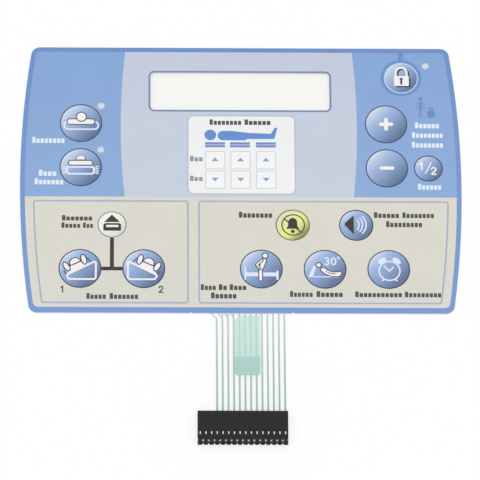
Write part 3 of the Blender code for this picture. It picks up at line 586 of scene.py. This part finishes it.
def place(name, mesh, centre, slot, stands_for=None):
    """Put a mesh into the scene as a piece of the object."""
    piece = bpy.data.objects.new(name, mesh)
    bpy.context.scene.collection.objects.link(piece)
    piece.location = (centre[0] * MM, centre[1] * MM, 0.0)
    bpy.context.view_layer.update()
    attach(piece, "root")
    if stands_for:
        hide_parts(stands_for)


def node_centre(node):
    """The middle of a CAD node, across and up the panel."""
    low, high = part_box(node)
    return ((low.x + high.x) / 2 / MM, (low.y + high.y) / 2 / MM)


def node_radius(node):
    """Half the width of a CAD node."""
    low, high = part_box(node)
    return (high.x - low.x) / 2 / MM


# What is printed on the keys, from each key's middle
def icon_normal():
    """A person lying on a flat mattress, seen from the feet."""
    mattress = [("pale", bar(-8.1, -3.5, 8.3, 1.2, 2.3)),
                ("face", bar(-7.3, -2.7, 7.5, 0.4, 1.5))]
    return (mattress + white_bar(-6.7, -0.9, 6.6, 2.4, 1.65)
            + white_disc(0.1, 3.25, 2.6))


def icon_maximum():
    """A person on a fully filled mattress."""
    dome = arc(0.0, 3.7, 2.4, 0, 180, 14)
    inner = arc(0.0, 3.9, 2.0, 0, 180, 14)
    layers = outlined(dome, inner) + white_bar(-5.9, 0.8, 5.7, 3.7, 1.4)
    layers += [("pale", bar(-6.7, -3.8, 6.5, 0.6, 1.5)),
               ("face", bar(-5.8, -2.9, 5.6, -0.3, 0.9))]
    for side in (-1, 1):
        for y, tip in ((0.0, 0.5), (-0.9, -0.7), (-1.9, -2.0), (-2.8, -3.3)):
            layers += stroke("pale", [(side * 6.9, y), (side * 8.0, tip)], 0.6)
    return layers


def icon_lock():
    """A closed padlock with its shadow."""
    body = bar(-3.3, -4.0, 3.6, 1.1, 0.5)
    shackle = [(-2.4, 1.0), *arc(0.1, 2.9, 2.5, 180, 0, 10), (2.6, 1.0)]
    shadow = moved([("rim", body)] + stroke("rim", shackle, 1.0), 0.8, -0.7)
    keyhole = [("rim", disc(0.1, -0.5, 0.7))]
    keyhole += stroke("rim", [(0.1, -0.5), (0.1, -2.9)], 0.95)
    return shadow + stroke("white", shackle, 1.0) + [("white", body)] + keyhole


def icon_plus():
    """A plus sign."""
    return (stroke("white", [(-2.4, 0.05), (2.4, 0.05)], 1.8)
            + stroke("white", [(0.0, -2.4), (0.0, 2.5)], 1.8))


def icon_minus():
    """A minus sign."""
    return stroke("white", [(-2.4, 0.15), (2.6, 0.15)], 1.7)


def icon_units():
    """The numbers 1 and 2 with a slanting line between them."""
    return (number("1", -4.1, -0.6, 3.4, width=0.7)
            + stroke("white", [(-1.4, -2.6), (1.3, 3.0)], 0.55)
            + number("2", 1.4, -2.9, 3.4, width=0.7))


def icon_stop():
    """A triangle over a rail, both dark."""
    return [("dark", [(-3.7, 1.2), (3.6, 1.3), (-0.1, 5.0)]),
            ("dark", bar(-4.0, -3.1, 4.1, 0.7, 1.2)),
            ("dark", bar(-4.0, -3.1, 4.1, -1.4, 0.5)),
            ("white", bar(-2.8, -1.3, 3.0, -0.2, 0.55))]


def icon_turn():
    """A person turned by a wedge that rises to the right."""
    wedge = [(-5.9, -3.75), (-5.0, -5.25), (6.4, -5.3), (7.2, -4.5),
             (7.2, 2.9), (6.6, 3.5), (-5.6, -3.0)]
    layers = outlined(arc(-2.1, 2.7, 2.9, 27, 207, 14),
                      arc(-2.1, 2.8, 2.35, 27, 207, 14))
    layers.append(("white", [(-5.6, -2.7), (4.4, 2.3), (2.0, 3.4),
                             (0.3, 3.6), (-4.3, 1.3)]))
    layers += stroke("rim", [(-4.5, 1.3), (0.3, 3.6)], 0.5)
    for x, y, half, lean in ((-6.1, 1.0, 2.75, 32), (1.7, 4.6, 2.85, 18)):
        tilt = math.radians(lean)
        layers += outlined(ellipse(x, y, 1.5, half, tilt),
                           ellipse(x, y, 0.95, half - 0.55, tilt))
    layers += stroke("rim", [(-7.2, -1.2), (-6.3, -2.8)], 0.5)
    layers += stroke("rim", [(3.4, 5.0), (4.8, 3.5)], 0.5)
    return layers + stroke("white", wedge, 0.85, closed=True)


def icon_silence():
    """A bell struck through, in a ring."""
    bell = [(-3.05, -1.85), (3.05, -1.85), (2.2, -0.6), (2.0, 1.45),
            *arc(0.0, 1.6, 2.0, 0, 180, 10), (-2.0, 1.45), (-2.2, -0.6)]
    return ([("dark", disc(0.2, 0.1, 5.4, 40)), ("face", disc(0.2, 0.1, 4.85, 40))]
            + stroke("dark", [(-4.0, 3.3), (4.0, -3.7)], 0.6)
            + [("dark", bell), ("dark", disc(0.0, -3.15, 0.85))])


def icon_volume():
    """A loudspeaker with three waves."""
    layers = [("dark", [(-4.3, -0.9), (-1.1, -4.6), (-1.1, 5.1), (-4.3, 2.0)]),
              ("dark", bar(-5.2, -0.5, -4.2, 1.6, 0.1))]
    for x, reach, half in ((-2.6, 3.9, 38), (-2.2, 5.1, 41), (-1.8, 6.3, 42)):
        layers += stroke("pale", arc(x, 0.3, reach, -half, half, 8), 0.7)
    return layers


def icon_bed_exit():
    """A person who gets up from the edge of a bed."""
    layers = [("pale", bar(-7.1, -3.6, 6.9, -1.7)),
              ("pale", bar(-7.7, -5.3, -6.9, 1.0)),
              ("pale", bar(6.8, -5.3, 7.8, -0.8))]
    layers += white_line([(-0.3, 0.6), (-0.3, -5.2)], 1.3)
    layers += white_line([(1.3, 4.2), (0.3, 1.6), (-0.1, 0.6)], 1.7)
    layers += white_line([(0.3, 4.4), (-2.0, 2.2), (-1.0, 0.6)], 0.75)
    return layers + white_disc(1.75, 6.7, 1.6)


def icon_head_angle():
    """A person on a bed with its head part raised, and the angle."""
    layers = [("pale", [(-7.7, -3.9), (-5.5, -3.9), (-4.0, 1.4), (-5.2, 1.9)])]
    layers += stroke("pale", [(-4.9, -3.8), (6.0, -3.8)], 0.5)
    body = [(-0.9, -0.2), (1.0, -1.6), (3.2, -2.5), (6.2, -2.4)]
    foot = [(5.6, -2.2), (6.8, -1.7)]
    layers += white_line(foot, 1.0) + white_line(body, 1.9)
    layers += stroke("white", foot, 1.0)
    layers += stroke("rim", [(0.3, -0.9), (2.2, -2.1), (4.8, -2.3)], 0.35)
    layers += white_disc(-2.9, 2.1, 1.5)
    layers += number("30", -0.2, 2.2, 3.5, "soft", 0.75)
    return layers + [("soft", disc(6.2, 5.7, 0.7)), ("face", disc(6.2, 5.7, 0.3))]


def icon_timer():
    """An alarm clock."""
    layers = [("pale", disc(0.3, -0.7, 5.1, 40)), ("face", disc(0.3, -0.7, 4.4, 40))]
    layers += stroke("pale", [(-2.1, 1.7), (0.3, -0.9), (2.1, 1.2)], 0.65)
    for x, lean in ((-3.0, 38), (3.6, -38)):
        tilt = math.radians(lean)
        layers.append(("pale", ellipse(x, 4.3, 2.2, 1.25, tilt)))
    for x0, x1 in ((-2.2, -3.0), (2.8, 3.7)):
        layers += stroke("pale", [(x0, -5.1), (x1, -5.5)], 0.7)
    return layers


ICONS = {
    "key_normal": icon_normal, "key_maximum": icon_maximum,
    "key_plus": icon_plus, "key_minus": icon_minus, "key_units": icon_units,
    "key_lock": icon_lock, "key_turn_stop": icon_stop,
    "key_turn_right": icon_turn,
    "key_turn_left": lambda: mirrored(icon_turn()),
    "key_alarm_silence": icon_silence, "key_volume": icon_volume,
    "key_bed_exit": icon_bed_exit, "key_head_angle": icon_head_angle,
    "key_timer": icon_timer,
}
KEY_CODES = ["687697", "6c7ca0", "798eb1", "859bc1", "8ea7cf", "96b0d8",
             "a3b9e0", "bccbe8", "dde6f5"]
UPPER_CODES = ["62718b", "69809f", "7790b1", "869dc4", "92a9d2", "9fb4da",
               "adc0e0", "c5d2e6", "dde4ec"]
YELLOW_CODES = ["8d8e62", "9fa06c", "cdd084", "e4e88f", "e9ec97", "e6e8a2",
                "e4e5b0", "e3e2ba", "e4e2bf"]
WHITE_CODES = ["d9d9d4", "e4e4df", "eeeeea", "f3f3f0", "f6f6f4"]
OUTLINE_WIDTH = 0.5

# Each style's outline ink and its colour, the face's colours and the slot
KEY_STYLES = {
    "upper": ("ink_outline_blue", "35506f", UPPER_CODES, "key_blue_ink"),
    "lower": ("ink_outline_grey", "3f4656", KEY_CODES, "key_blue_ink"),
    "lock": ("ink_outline_light", "c5dcf8", UPPER_CODES, "key_blue_ink"),
    "yellow": ("ink_outline_olive", "737054", YELLOW_CODES, "key_yellow_ink"),
    "stop": ("ink_outline_pale", "8e8f88", WHITE_CODES, "key_white_ink"),
}
UPPER_KEYS = ("key_normal", "key_maximum", "key_plus", "key_minus",
              "key_units")
OWN_STYLES = {"key_lock": "lock", "key_alarm_silence": "yellow",
              "key_turn_stop": "stop"}


def make_keys():
    """The round keys: an outline, a shaded face and a sign on each."""
    signs = {"white": flat_ink("ink_white", "f4f0ee"),
             "pale": flat_ink("ink_pale_sign", "dfe8f8"),
             "soft": flat_ink("ink_soft_sign", "dbe6f8"),
             "dark": flat_ink("ink_dark_sign", "45443f")}
    outlines = {style: flat_ink(name, code)
                for style, (name, code, _, _) in KEY_STYLES.items()}
    signs["rim"] = flat_ink("ink_sign_rim", "3c4a60")
    faces = {}
    for node, icon in ICONS.items():
        radius = node_radius(node)
        common = "upper" if node in UPPER_KEYS else "lower"
        style = OWN_STYLES.get(node, common)
        _, _, codes, slot = KEY_STYLES[style]
        size = f"{style}_{radius:.1f}"
        if size not in faces:
            faces[size] = key_ink(f"ink_key_{size}", codes, radius)
        inks = {**signs, "outline": outlines[style], "face": faces[size]}
        # the lock key fills a hole of 28 sides in its ring
        steps = DOT_STEPS if node == "key_lock" else ROUND_STEPS
        layers = [("outline", disc(0.0, 0.0, radius, steps)),
                  ("face", disc(0.0, 0.0, radius - OUTLINE_WIDTH, ROUND_STEPS))]
        printed(f"sign_{node}", node_centre(node), layers + icon(), inks, slot,
                stands_for=node)


SQUARE_LINE = 0.3
SQUARE_CORNER = 0.4
SQUARE_INNER_CORNER = 0.2


def make_square_keys():
    """Six square keys, with triangles that point up over ones that point down."""
    half = node_radius("key_zone_1_firmer")
    inner = half - SQUARE_LINE
    inks = {"outline": flat_ink("ink_square_outline", "c9cad0"),
            "face": key_ink("ink_square_face", ["f3f6f4", "f4f6f6", "f3f4f7"],
                            half),
            "sign": flat_ink("ink_square_sign", "8f9ad0")}
    signs = {"firmer": [(-1.6, -0.55), (1.6, -0.55), (0.0, 1.35)],
             "softer": [(-1.6, 1.0), (0.0, -0.85), (1.6, 1.0)]}
    for zone in (1, 2, 3):
        for label, triangle in signs.items():
            node = f"key_zone_{zone}_{label}"
            layers = [("outline", bar(-half, -half, half, half, SQUARE_CORNER)),
                      ("face", bar(-inner, -inner, inner, inner,
                                   SQUARE_INNER_CORNER))]
            printed(f"sign_{node}", node_centre(node),
                    layers + [("sign", triangle)], inks, "key_square_ink",
                    stands_for=node)


# Words become rows of plain blocks: (left, right, base, top of the capitals)
LIGHT_WORDS = [
    (-95.4, -80.7, 18.3, 21.4), (-92.3, -84.3, 1.5, 4.6),
    (-94.1, -81.1, -2.8, 0.3), (80.1, 91.1, 26.5, 29.6),
    (78.6, 92.7, 21.6, 24.6), (78.5, 92.7, 16.6, 19.6),
    (80.9, 91.4, -4.8, -1.8),
]
DARK_WORDS = [
    (-14.2, 0.3, 27.9, 30.7), (1.8, 13.7, 27.9, 30.7),
    (-81.5, -67.8, -21.0, -18.3), (-81.7, -73.2, -24.7, -22.0),
    (-71.9, -67.4, -24.7, -22.0), (-70.1, -61.4, -60.2, -57.3),
    (-59.6, -46.8, -60.2, -57.3), (-1.0, 14.1, -19.3, -16.3),
    (-18.4, -11.7, -55.6, -52.7), (-10.3, -6.7, -55.6, -52.7),
    (-5.4, 2.1, -55.6, -52.7), (-13.8, -2.4, -59.8, -56.8),
    (21.9, 32.1, -58.9, -56.0), (33.9, 45.7, -58.9, -56.0),
    (60.5, 71.9, -19.2, -16.3), (73.5, 87.8, -19.2, -16.3),
    (66.0, 82.3, -23.8, -20.8), (51.4, 72.5, -58.9, -56.1),
    (73.9, 90.3, -58.9, -56.1),
]
GREY_WORDS = [(-23.2, -17.5, 9.2, 12.0), (-23.2, -17.5, -0.8, 1.9)]
BLOCK_WIDTH = 1.5
BLOCK_GAP = 0.4
BLOCK_CORNER = 0.35
LOW_BLOCK = 0.74                # height of all but a word's first block


def word_blocks(words, name):
    """Plain blocks in place of each word, the first one the tallest."""
    layers = []
    for x0, x1, base, top in words:
        width = x1 - x0 + BLOCK_GAP
        count = round(width / (BLOCK_WIDTH + BLOCK_GAP))
        for i in range(count):
            left = x0 + width * i / count
            right = x0 + width * (i + 1) / count - BLOCK_GAP
            height = (top - base) * (LOW_BLOCK if i else 1.0)
            layers.append((name, bar(left, base, right, base + height,
                                     BLOCK_CORNER)))
    return layers


def make_labels():
    """The rows of blocks, and a number under each turn key."""
    inks = {"light": flat_ink("ink_label_white", "e3edf8"),
            "dark": flat_ink("ink_label_dark", "5a5a54"),
            "grey": flat_ink("ink_label_grey", "9a9ca0")}
    printed("print_light_labels", PRINT_PLACE, word_blocks(LIGHT_WORDS, "light"),
            inks, "white_ink")
    layers = word_blocks(DARK_WORDS, "dark")
    layers += number("1", -81.9, -56.9, 3.0, "dark", 0.6)
    layers += number("2", -37.4, -56.8, 3.0, "dark", 0.6)
    printed("print_dark_labels", PRINT_PLACE, layers, inks, "dark_ink")
    printed("print_grey_labels", PRINT_PLACE, word_blocks(GREY_WORDS, "grey"),
            inks, "dark_ink")


ZONE_BAR_LENGTH = 9.1
ZONE_BAR_HEIGHT = 1.1


def make_zone_picture():
    """The lying figure over the columns of bars."""
    body = [(-8.2, 20.0), (2.0, 20.0), (2.9, 20.7), (13.6, 20.7), (15.5, 20.9),
            (16.9, 26.6), (15.6, 26.4), (13.9, 23.4), (4.0, 23.8),
            (-4.0, 24.8), (-8.4, 24.8), *arc(-8.2, 22.4, 2.4, 100, 260, 8)]
    layers = [("figure", body), ("figure", disc(-13.9, 22.7, 2.7))]
    for left in (-16.3, -4.9, 7.0):
        right = left + ZONE_BAR_LENGTH
        layers.append(("between", bar(left, 16.6, right, 18.8)))
        for low in (17.9, 16.4):
            layers.append(("bars", bar(left, low, right, low + ZONE_BAR_HEIGHT,
                                       0.1)))
    inks = {"figure": flat_ink("ink_figure", "6b93d1"),
            "bars": flat_ink("ink_bars", "7793cb"),
            "between": flat_ink("ink_between_bars", "c5cbe6")}
    printed("print_zone_picture", PRINT_PLACE, layers, inks, "key_blue_ink")


LIGHT_RADIUS = 1.45
LIGHT_RIM_RADIUS = 1.7


def make_side_signs():
    """The person and weight beside the plus key, and the light windows."""
    inks = {"sign": flat_ink("ink_side_sign", "7091c8"),
            "spot": flat_ink("ink_light_spot", "d6dbdf"),
            "rim": flat_ink("ink_spot_rim", "b3c4dc"),
            "under": flat_ink("ink_sign_gap", "8aabd9")}
    x = 82.8                    # the person's middle
    layers = [("sign", disc(x, 41.6, 0.95)),
              ("sign", bar(x - 0.75, 35.9, x + 0.75, 40.1, 0.3))]
    for side in (-1, 1):
        layers += stroke("sign", [(x + side * 1.55, 39.6),
                                  (x + side * 1.75, 36.4)], 0.35)
        layers += stroke("sign", [(x + side * 0.5, 36.2),
                                  (x + side * 0.5, 32.2)], 0.5)
    layers += [("sign", disc(87.6, 36.4, 1.1)), ("under", disc(87.6, 36.4, 0.55)),
               ("sign", bar(85.8, 31.8, 89.3, 35.6, 1.0))]
    printed("print_weight_sign", PRINT_PLACE, layers, inks, "side_ink")
    layers = []
    for node in ("led_normal", "led_maximum", "led_lock"):
        x, y = node_centre(node)
        layers += [("rim", disc(x, y, LIGHT_RIM_RADIUS)),
                   ("spot", disc(x, y, LIGHT_RADIUS))]
    printed("print_light_spots", (0.0, 0.0), layers, inks, "white_ink")


# The strip on the lower border, and the fillet at each end of it
EDGE_LOW = -65.05
EDGE_HIGH = -64.55
EDGE_REACH = 91.75
EDGE_FILLET = 2.65
FILLET_OUT = 95.2
FILLET_TOP = -62.6


def make_lower_edge():
    """A strip that makes the lower border as wide as it is in the photo."""
    fillet = [(EDGE_REACH, EDGE_LOW), (FILLET_OUT, EDGE_LOW),
              (FILLET_OUT, FILLET_TOP),
              *arc(EDGE_REACH, EDGE_HIGH + EDGE_FILLET, EDGE_FILLET, -15, -90)]
    strip = bar(-EDGE_REACH, EDGE_LOW, EDGE_REACH, EDGE_HIGH)
    layers = [("border", fillet), ("border", strip)]
    printed("print_lower_edge", (0.0, 0.0), layers + mirrored(layers[:1]),
            {"border": flat_ink("ink_lower_edge", "7f9ed4")}, "border_ink")


MARK_HIGH = -67.7
MARK_LOW = -68.9
MARK_WIDTH = 0.55
MARK_GAP = 0.003                # over the traces


def make_root_marks():
    """Short green marks at the roots of the second to fifth trace."""
    low = FILM_LOW + FILM_THICKNESS + TRACE_LIFT + TRACE_INK + MARK_GAP
    layers = []
    for i in (1, 2, 3, 4):
        x = FIRST_TRACE_X + i * PITCH
        layers += stroke("mark", [(x, MARK_HIGH), (x, MARK_LOW)], MARK_WIDTH)
    green = linear("9fd3bb")
    printed("tail_root_marks", (0.0, 0.0), layers,
            {"mark": ink("ink_root_mark", [(0.0, green), (1.0, green)])},
            "circuit", low, low + TRACE_INK)


COMFORT_OUTSET = 0.05
COMFORT_CORNER = 2.7
COMFORT_LINE = 0.4


def make_comfort_line():
    """The thin line along the edge of the comfort panel."""
    low, high = (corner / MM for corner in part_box("print_comfort_panel"))
    outline = bar(low.x - COMFORT_OUTSET, low.y - COMFORT_OUTSET,
                  high.x + COMFORT_OUTSET, high.y + COMFORT_OUTSET,
                  COMFORT_CORNER)
    printed("print_comfort_line", (0.0, 0.0),
            stroke("line", outline, COMFORT_LINE, closed=True),
            {"line": flat_ink("ink_comfort_line", "b2b6cd")}, "white_ink")


# Tail
def tail_height(y):
    """How far the tail has risen at this place along it."""
    share = (PANEL_BOTTOM - y) / TAIL_REACH
    u = min(max((share - TAIL_LEVEL) / (TAIL_RISEN - TAIL_LEVEL), 0.0), 1.0)
    return TAIL_RISE * u * u * (3 - 2 * u)


def tail_rows():
    """The places along the tail where a trace starts, bends or ends."""
    start = PANEL_BOTTOM - TAIL_ROOT
    level_end = PANEL_BOTTOM - TAIL_LEVEL * TAIL_REACH
    risen = PANEL_BOTTOM - TAIL_RISEN * TAIL_REACH
    rise = [level_end + (risen - level_end) * i / TAIL_STEPS
            for i in range(TAIL_STEPS + 1)]
    return [start, start - TRACE_BEND, *rise, TRACE_END]


def make_traces():
    """The printed conductors, each lying on its ridge."""
    verts, polygons = [], []
    rows = tail_rows()
    for i in range(TRACES):
        centre = FIRST_TRACE_X + i * PITCH
        turn = TRACE_BEND * (1 - BEND_TAPER * i) if i < BENT_TRACES else 0.0
        first = len(verts)
        for row, y in enumerate(rows):
            x = centre if row else centre - turn
            z = FILM_LOW + FILM_THICKNESS + tail_height(y) + TRACE_LIFT
            for dx, dz in ((-1, 0), (1, 0), (1, 1), (-1, 1)):
                verts.append(((x + dx * TRACE_HALF) * MM, y * MM,
                              (z + dz * TRACE_INK) * MM))
        for row in range(len(rows) - 1):
            a = first + row * 4
            for k in range(4):
                m = (k + 1) % 4
                polygons.append([a + k, a + m, a + 4 + m, a + 4 + k])
        last = first + (len(rows) - 1) * 4
        polygons.append([first + 3, first + 2, first + 1, first])
        polygons.append([last, last + 1, last + 2, last + 3])
    mesh = bpy.data.meshes.new("tail_traces")
    mesh.from_pydata(verts, [], polygons)
    mesh.materials.append(trace_material())
    mesh.update()
    place("tail_traces", mesh, (0.0, 0.0), "circuit")


# Materials of the CAD nodes that stay
def dress(node, mat):
    """Give a CAD node this material."""
    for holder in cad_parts[node].material_slots:
        holder.material = mat


def dress_nodes():
    """The materials of the inks, films, boards, lamps and receptacle."""
    side = field_ink("ink_side_field", ["90afda", "8facd9", "89aad8"],
                     FIELD_SPLIT, FIELD_TOP)
    border = field_ink("ink_border", ["7f9ed4", "7b9bd0", "7294ca"],
                       -BORDER_REACH, BORDER_REACH)
    for node in ("print_left_field", "print_right_field"):
        dress(node, side)
    dress("print_border", border)
    dress("print_lock_ring", border)
    dress("print_centre_field",
          field_ink("ink_centre_field", ["c8d1df", "c7d0df", "c5cddd"],
                    FIELD_SPLIT, FIELD_TOP))
    dress("print_lower_field",
          field_ink("ink_lower_field", ["dbd9d0", "dcdace", "dcdacf"],
                    FIELD_BOTTOM, FIELD_SPLIT))
    dress("print_comfort_panel", flat_ink("ink_comfort", "f0f1f1"))
    dress("print_window_line", flat_ink("ink_window_line", "7a90b8"))
    box_ink = flat_ink("ink_box_line", "a6b3ca")
    dress("print_left_box", box_ink)
    dress("print_right_box", box_ink)
    dress("print_turn_stem", flat_ink("ink_stem", "45443c"))

    dress("overlay_film", film_material())
    dress("circuit_layer", tail_film_material())
    dress("tail_cover_film", cover_material())
    glue = speckled("adhesive_film", "c9cac4", "d6d7d2", 900.0, 0.45)
    dress("top_adhesive", glue)
    dress("rear_adhesive", glue)
    dress("spacer", speckled("spacer_board", "e0e2e4", "eaecee", 600.0, 0.6))
    dress("dome_sheet", speckled("dome_metal_film", "a9a9a4", "bdbdb8", 800.0,
                                 0.38, metallic=0.6))
    dress("release_liner", speckled("liner_paper", "f5f5f1", "fbfbf9", 1500.0,
                                    0.65))
    lens = speckled("led_lens", "e4e9df", "f2f5ee", 2500.0, 0.3)
    for node in ("led_normal", "led_maximum", "led_lock"):
        dress(node, lens)
    dress("connector_housing", housing_material())
    metal = contact_material()
    for i in range(CONTACTS):
        dress(f"contact_{i + 1:02d}", metal)


# Stage
def make_floor():
    """A pale paper floor under the part."""
    size = FLOOR_REACH * MM
    mesh = bpy.data.meshes.new("floor")
    mesh.from_pydata([(x * size, y * size, FLOOR_LEVEL * MM)
                      for x, y in ((-1, -1), (1, -1), (1, 1), (-1, 1))],
                     [], [(0, 1, 2, 3)])
    floor = bpy.data.objects.new("floor", mesh)
    bpy.context.scene.collection.objects.link(floor)
    mat, tree, shader = new_material("floor_paper", 0.8, 0.0)
    position = object_position(tree)
    colour = ramp(tree, noise(tree, position, 300.0),
                  [(0.0, (0.99,) * 3), (1.0, (1.0,) * 3)])
    tree.links.new(colour, shader.inputs["Base Color"])
    # partly plain white where it is seen, so that its shadow stays faint
    glow = tree.nodes.new("ShaderNodeEmission")
    blend = tree.nodes.new("ShaderNodeMixShader")
    tree.links.new(scaled(tree, seen(tree), FLOOR_GLOW), blend.inputs["Fac"])
    tree.links.new(shader.outputs["BSDF"], blend.inputs[1])
    tree.links.new(glow.outputs["Emission"], blend.inputs[2])
    output = tree.nodes["Material Output"]
    tree.links.new(blend.outputs["Shader"], output.inputs["Surface"])
    mesh.materials.append(mat)


def seen(tree):
    """1 for what the camera sees, also in gloss and through clear film."""
    path = tree.nodes.new("ShaderNodeLightPath")
    value = path.outputs["Is Camera Ray"]
    for other in ("Is Glossy Ray", "Is Transmission Ray"):
        value = combine(tree, "MAXIMUM", value, path.outputs[other])
    return value


def make_light():
    """A plain white world and one soft sun."""
    world = bpy.data.worlds.new("studio")
    world.use_nodes = True
    tree = world.node_tree
    background = tree.nodes["Background"]
    background.inputs["Color"].default_value = (1.0, 1.0, 1.0, 1.0)
    camera_ray = tree.nodes.new("ShaderNodeLightPath").outputs["Is Camera Ray"]
    tree.links.new(scaled(tree, camera_ray, 1.0 - WORLD_LEVEL, WORLD_LEVEL),
                   background.inputs["Strength"])
    bpy.context.scene.world = world

    sun = bpy.data.lights.new("sun", "SUN")
    sun.energy = SUN_LEVEL * math.pi / math.sin(SUN_ELEVATION)
    sun.angle = SUN_SOFTNESS
    lamp = bpy.data.objects.new("sun", sun)
    towards = Vector((math.cos(SUN_AZIMUTH) * math.cos(SUN_ELEVATION),
                      math.sin(SUN_AZIMUTH) * math.cos(SUN_ELEVATION),
                      math.sin(SUN_ELEVATION)))
    lamp.rotation_euler = towards.to_track_quat("Z", "Y").to_euler()
    bpy.context.scene.collection.objects.link(lamp)


def make_camera():
    """The camera, at the photo's angle."""
    back = Vector((math.sin(AZIMUTH) * math.cos(ELEVATION),
                   -math.cos(AZIMUTH) * math.cos(ELEVATION),
                   math.sin(ELEVATION)))
    level = Vector((math.cos(AZIMUTH), math.sin(AZIMUTH), 0.0))
    upright = back.cross(level)
    right = math.cos(ROLL) * level + math.sin(ROLL) * upright
    up = -math.sin(ROLL) * level + math.cos(ROLL) * upright
    place_at = Vector(TARGET) + DISTANCE * back
    aim = Vector(TARGET) + AIM_RIGHT * right + AIM_UP * up
    back = (place_at - aim).normalized()
    right = (right - right.dot(back) * back).normalized()
    up = back.cross(right)

    lens = bpy.data.cameras.new("camera")
    lens.lens = FOCAL_LENGTH
    lens.clip_end = 20.0
    camera = bpy.data.objects.new("camera", lens)
    turn = Matrix((right, up, back)).transposed()
    camera.matrix_world = (Matrix.Translation(place_at * MM)
                           @ turn.to_4x4())
    bpy.context.scene.collection.objects.link(camera)
    bpy.context.scene.camera = camera


dress_nodes()
make_keys()
make_square_keys()
make_labels()
make_zone_picture()
make_side_signs()
make_lower_edge()
make_comfort_line()
make_traces()
make_root_marks()
make_floor()
make_light()
make_camera()
bpy.context.scene.view_settings.view_transform = "Standard"

bpy.context.view_layer.update()
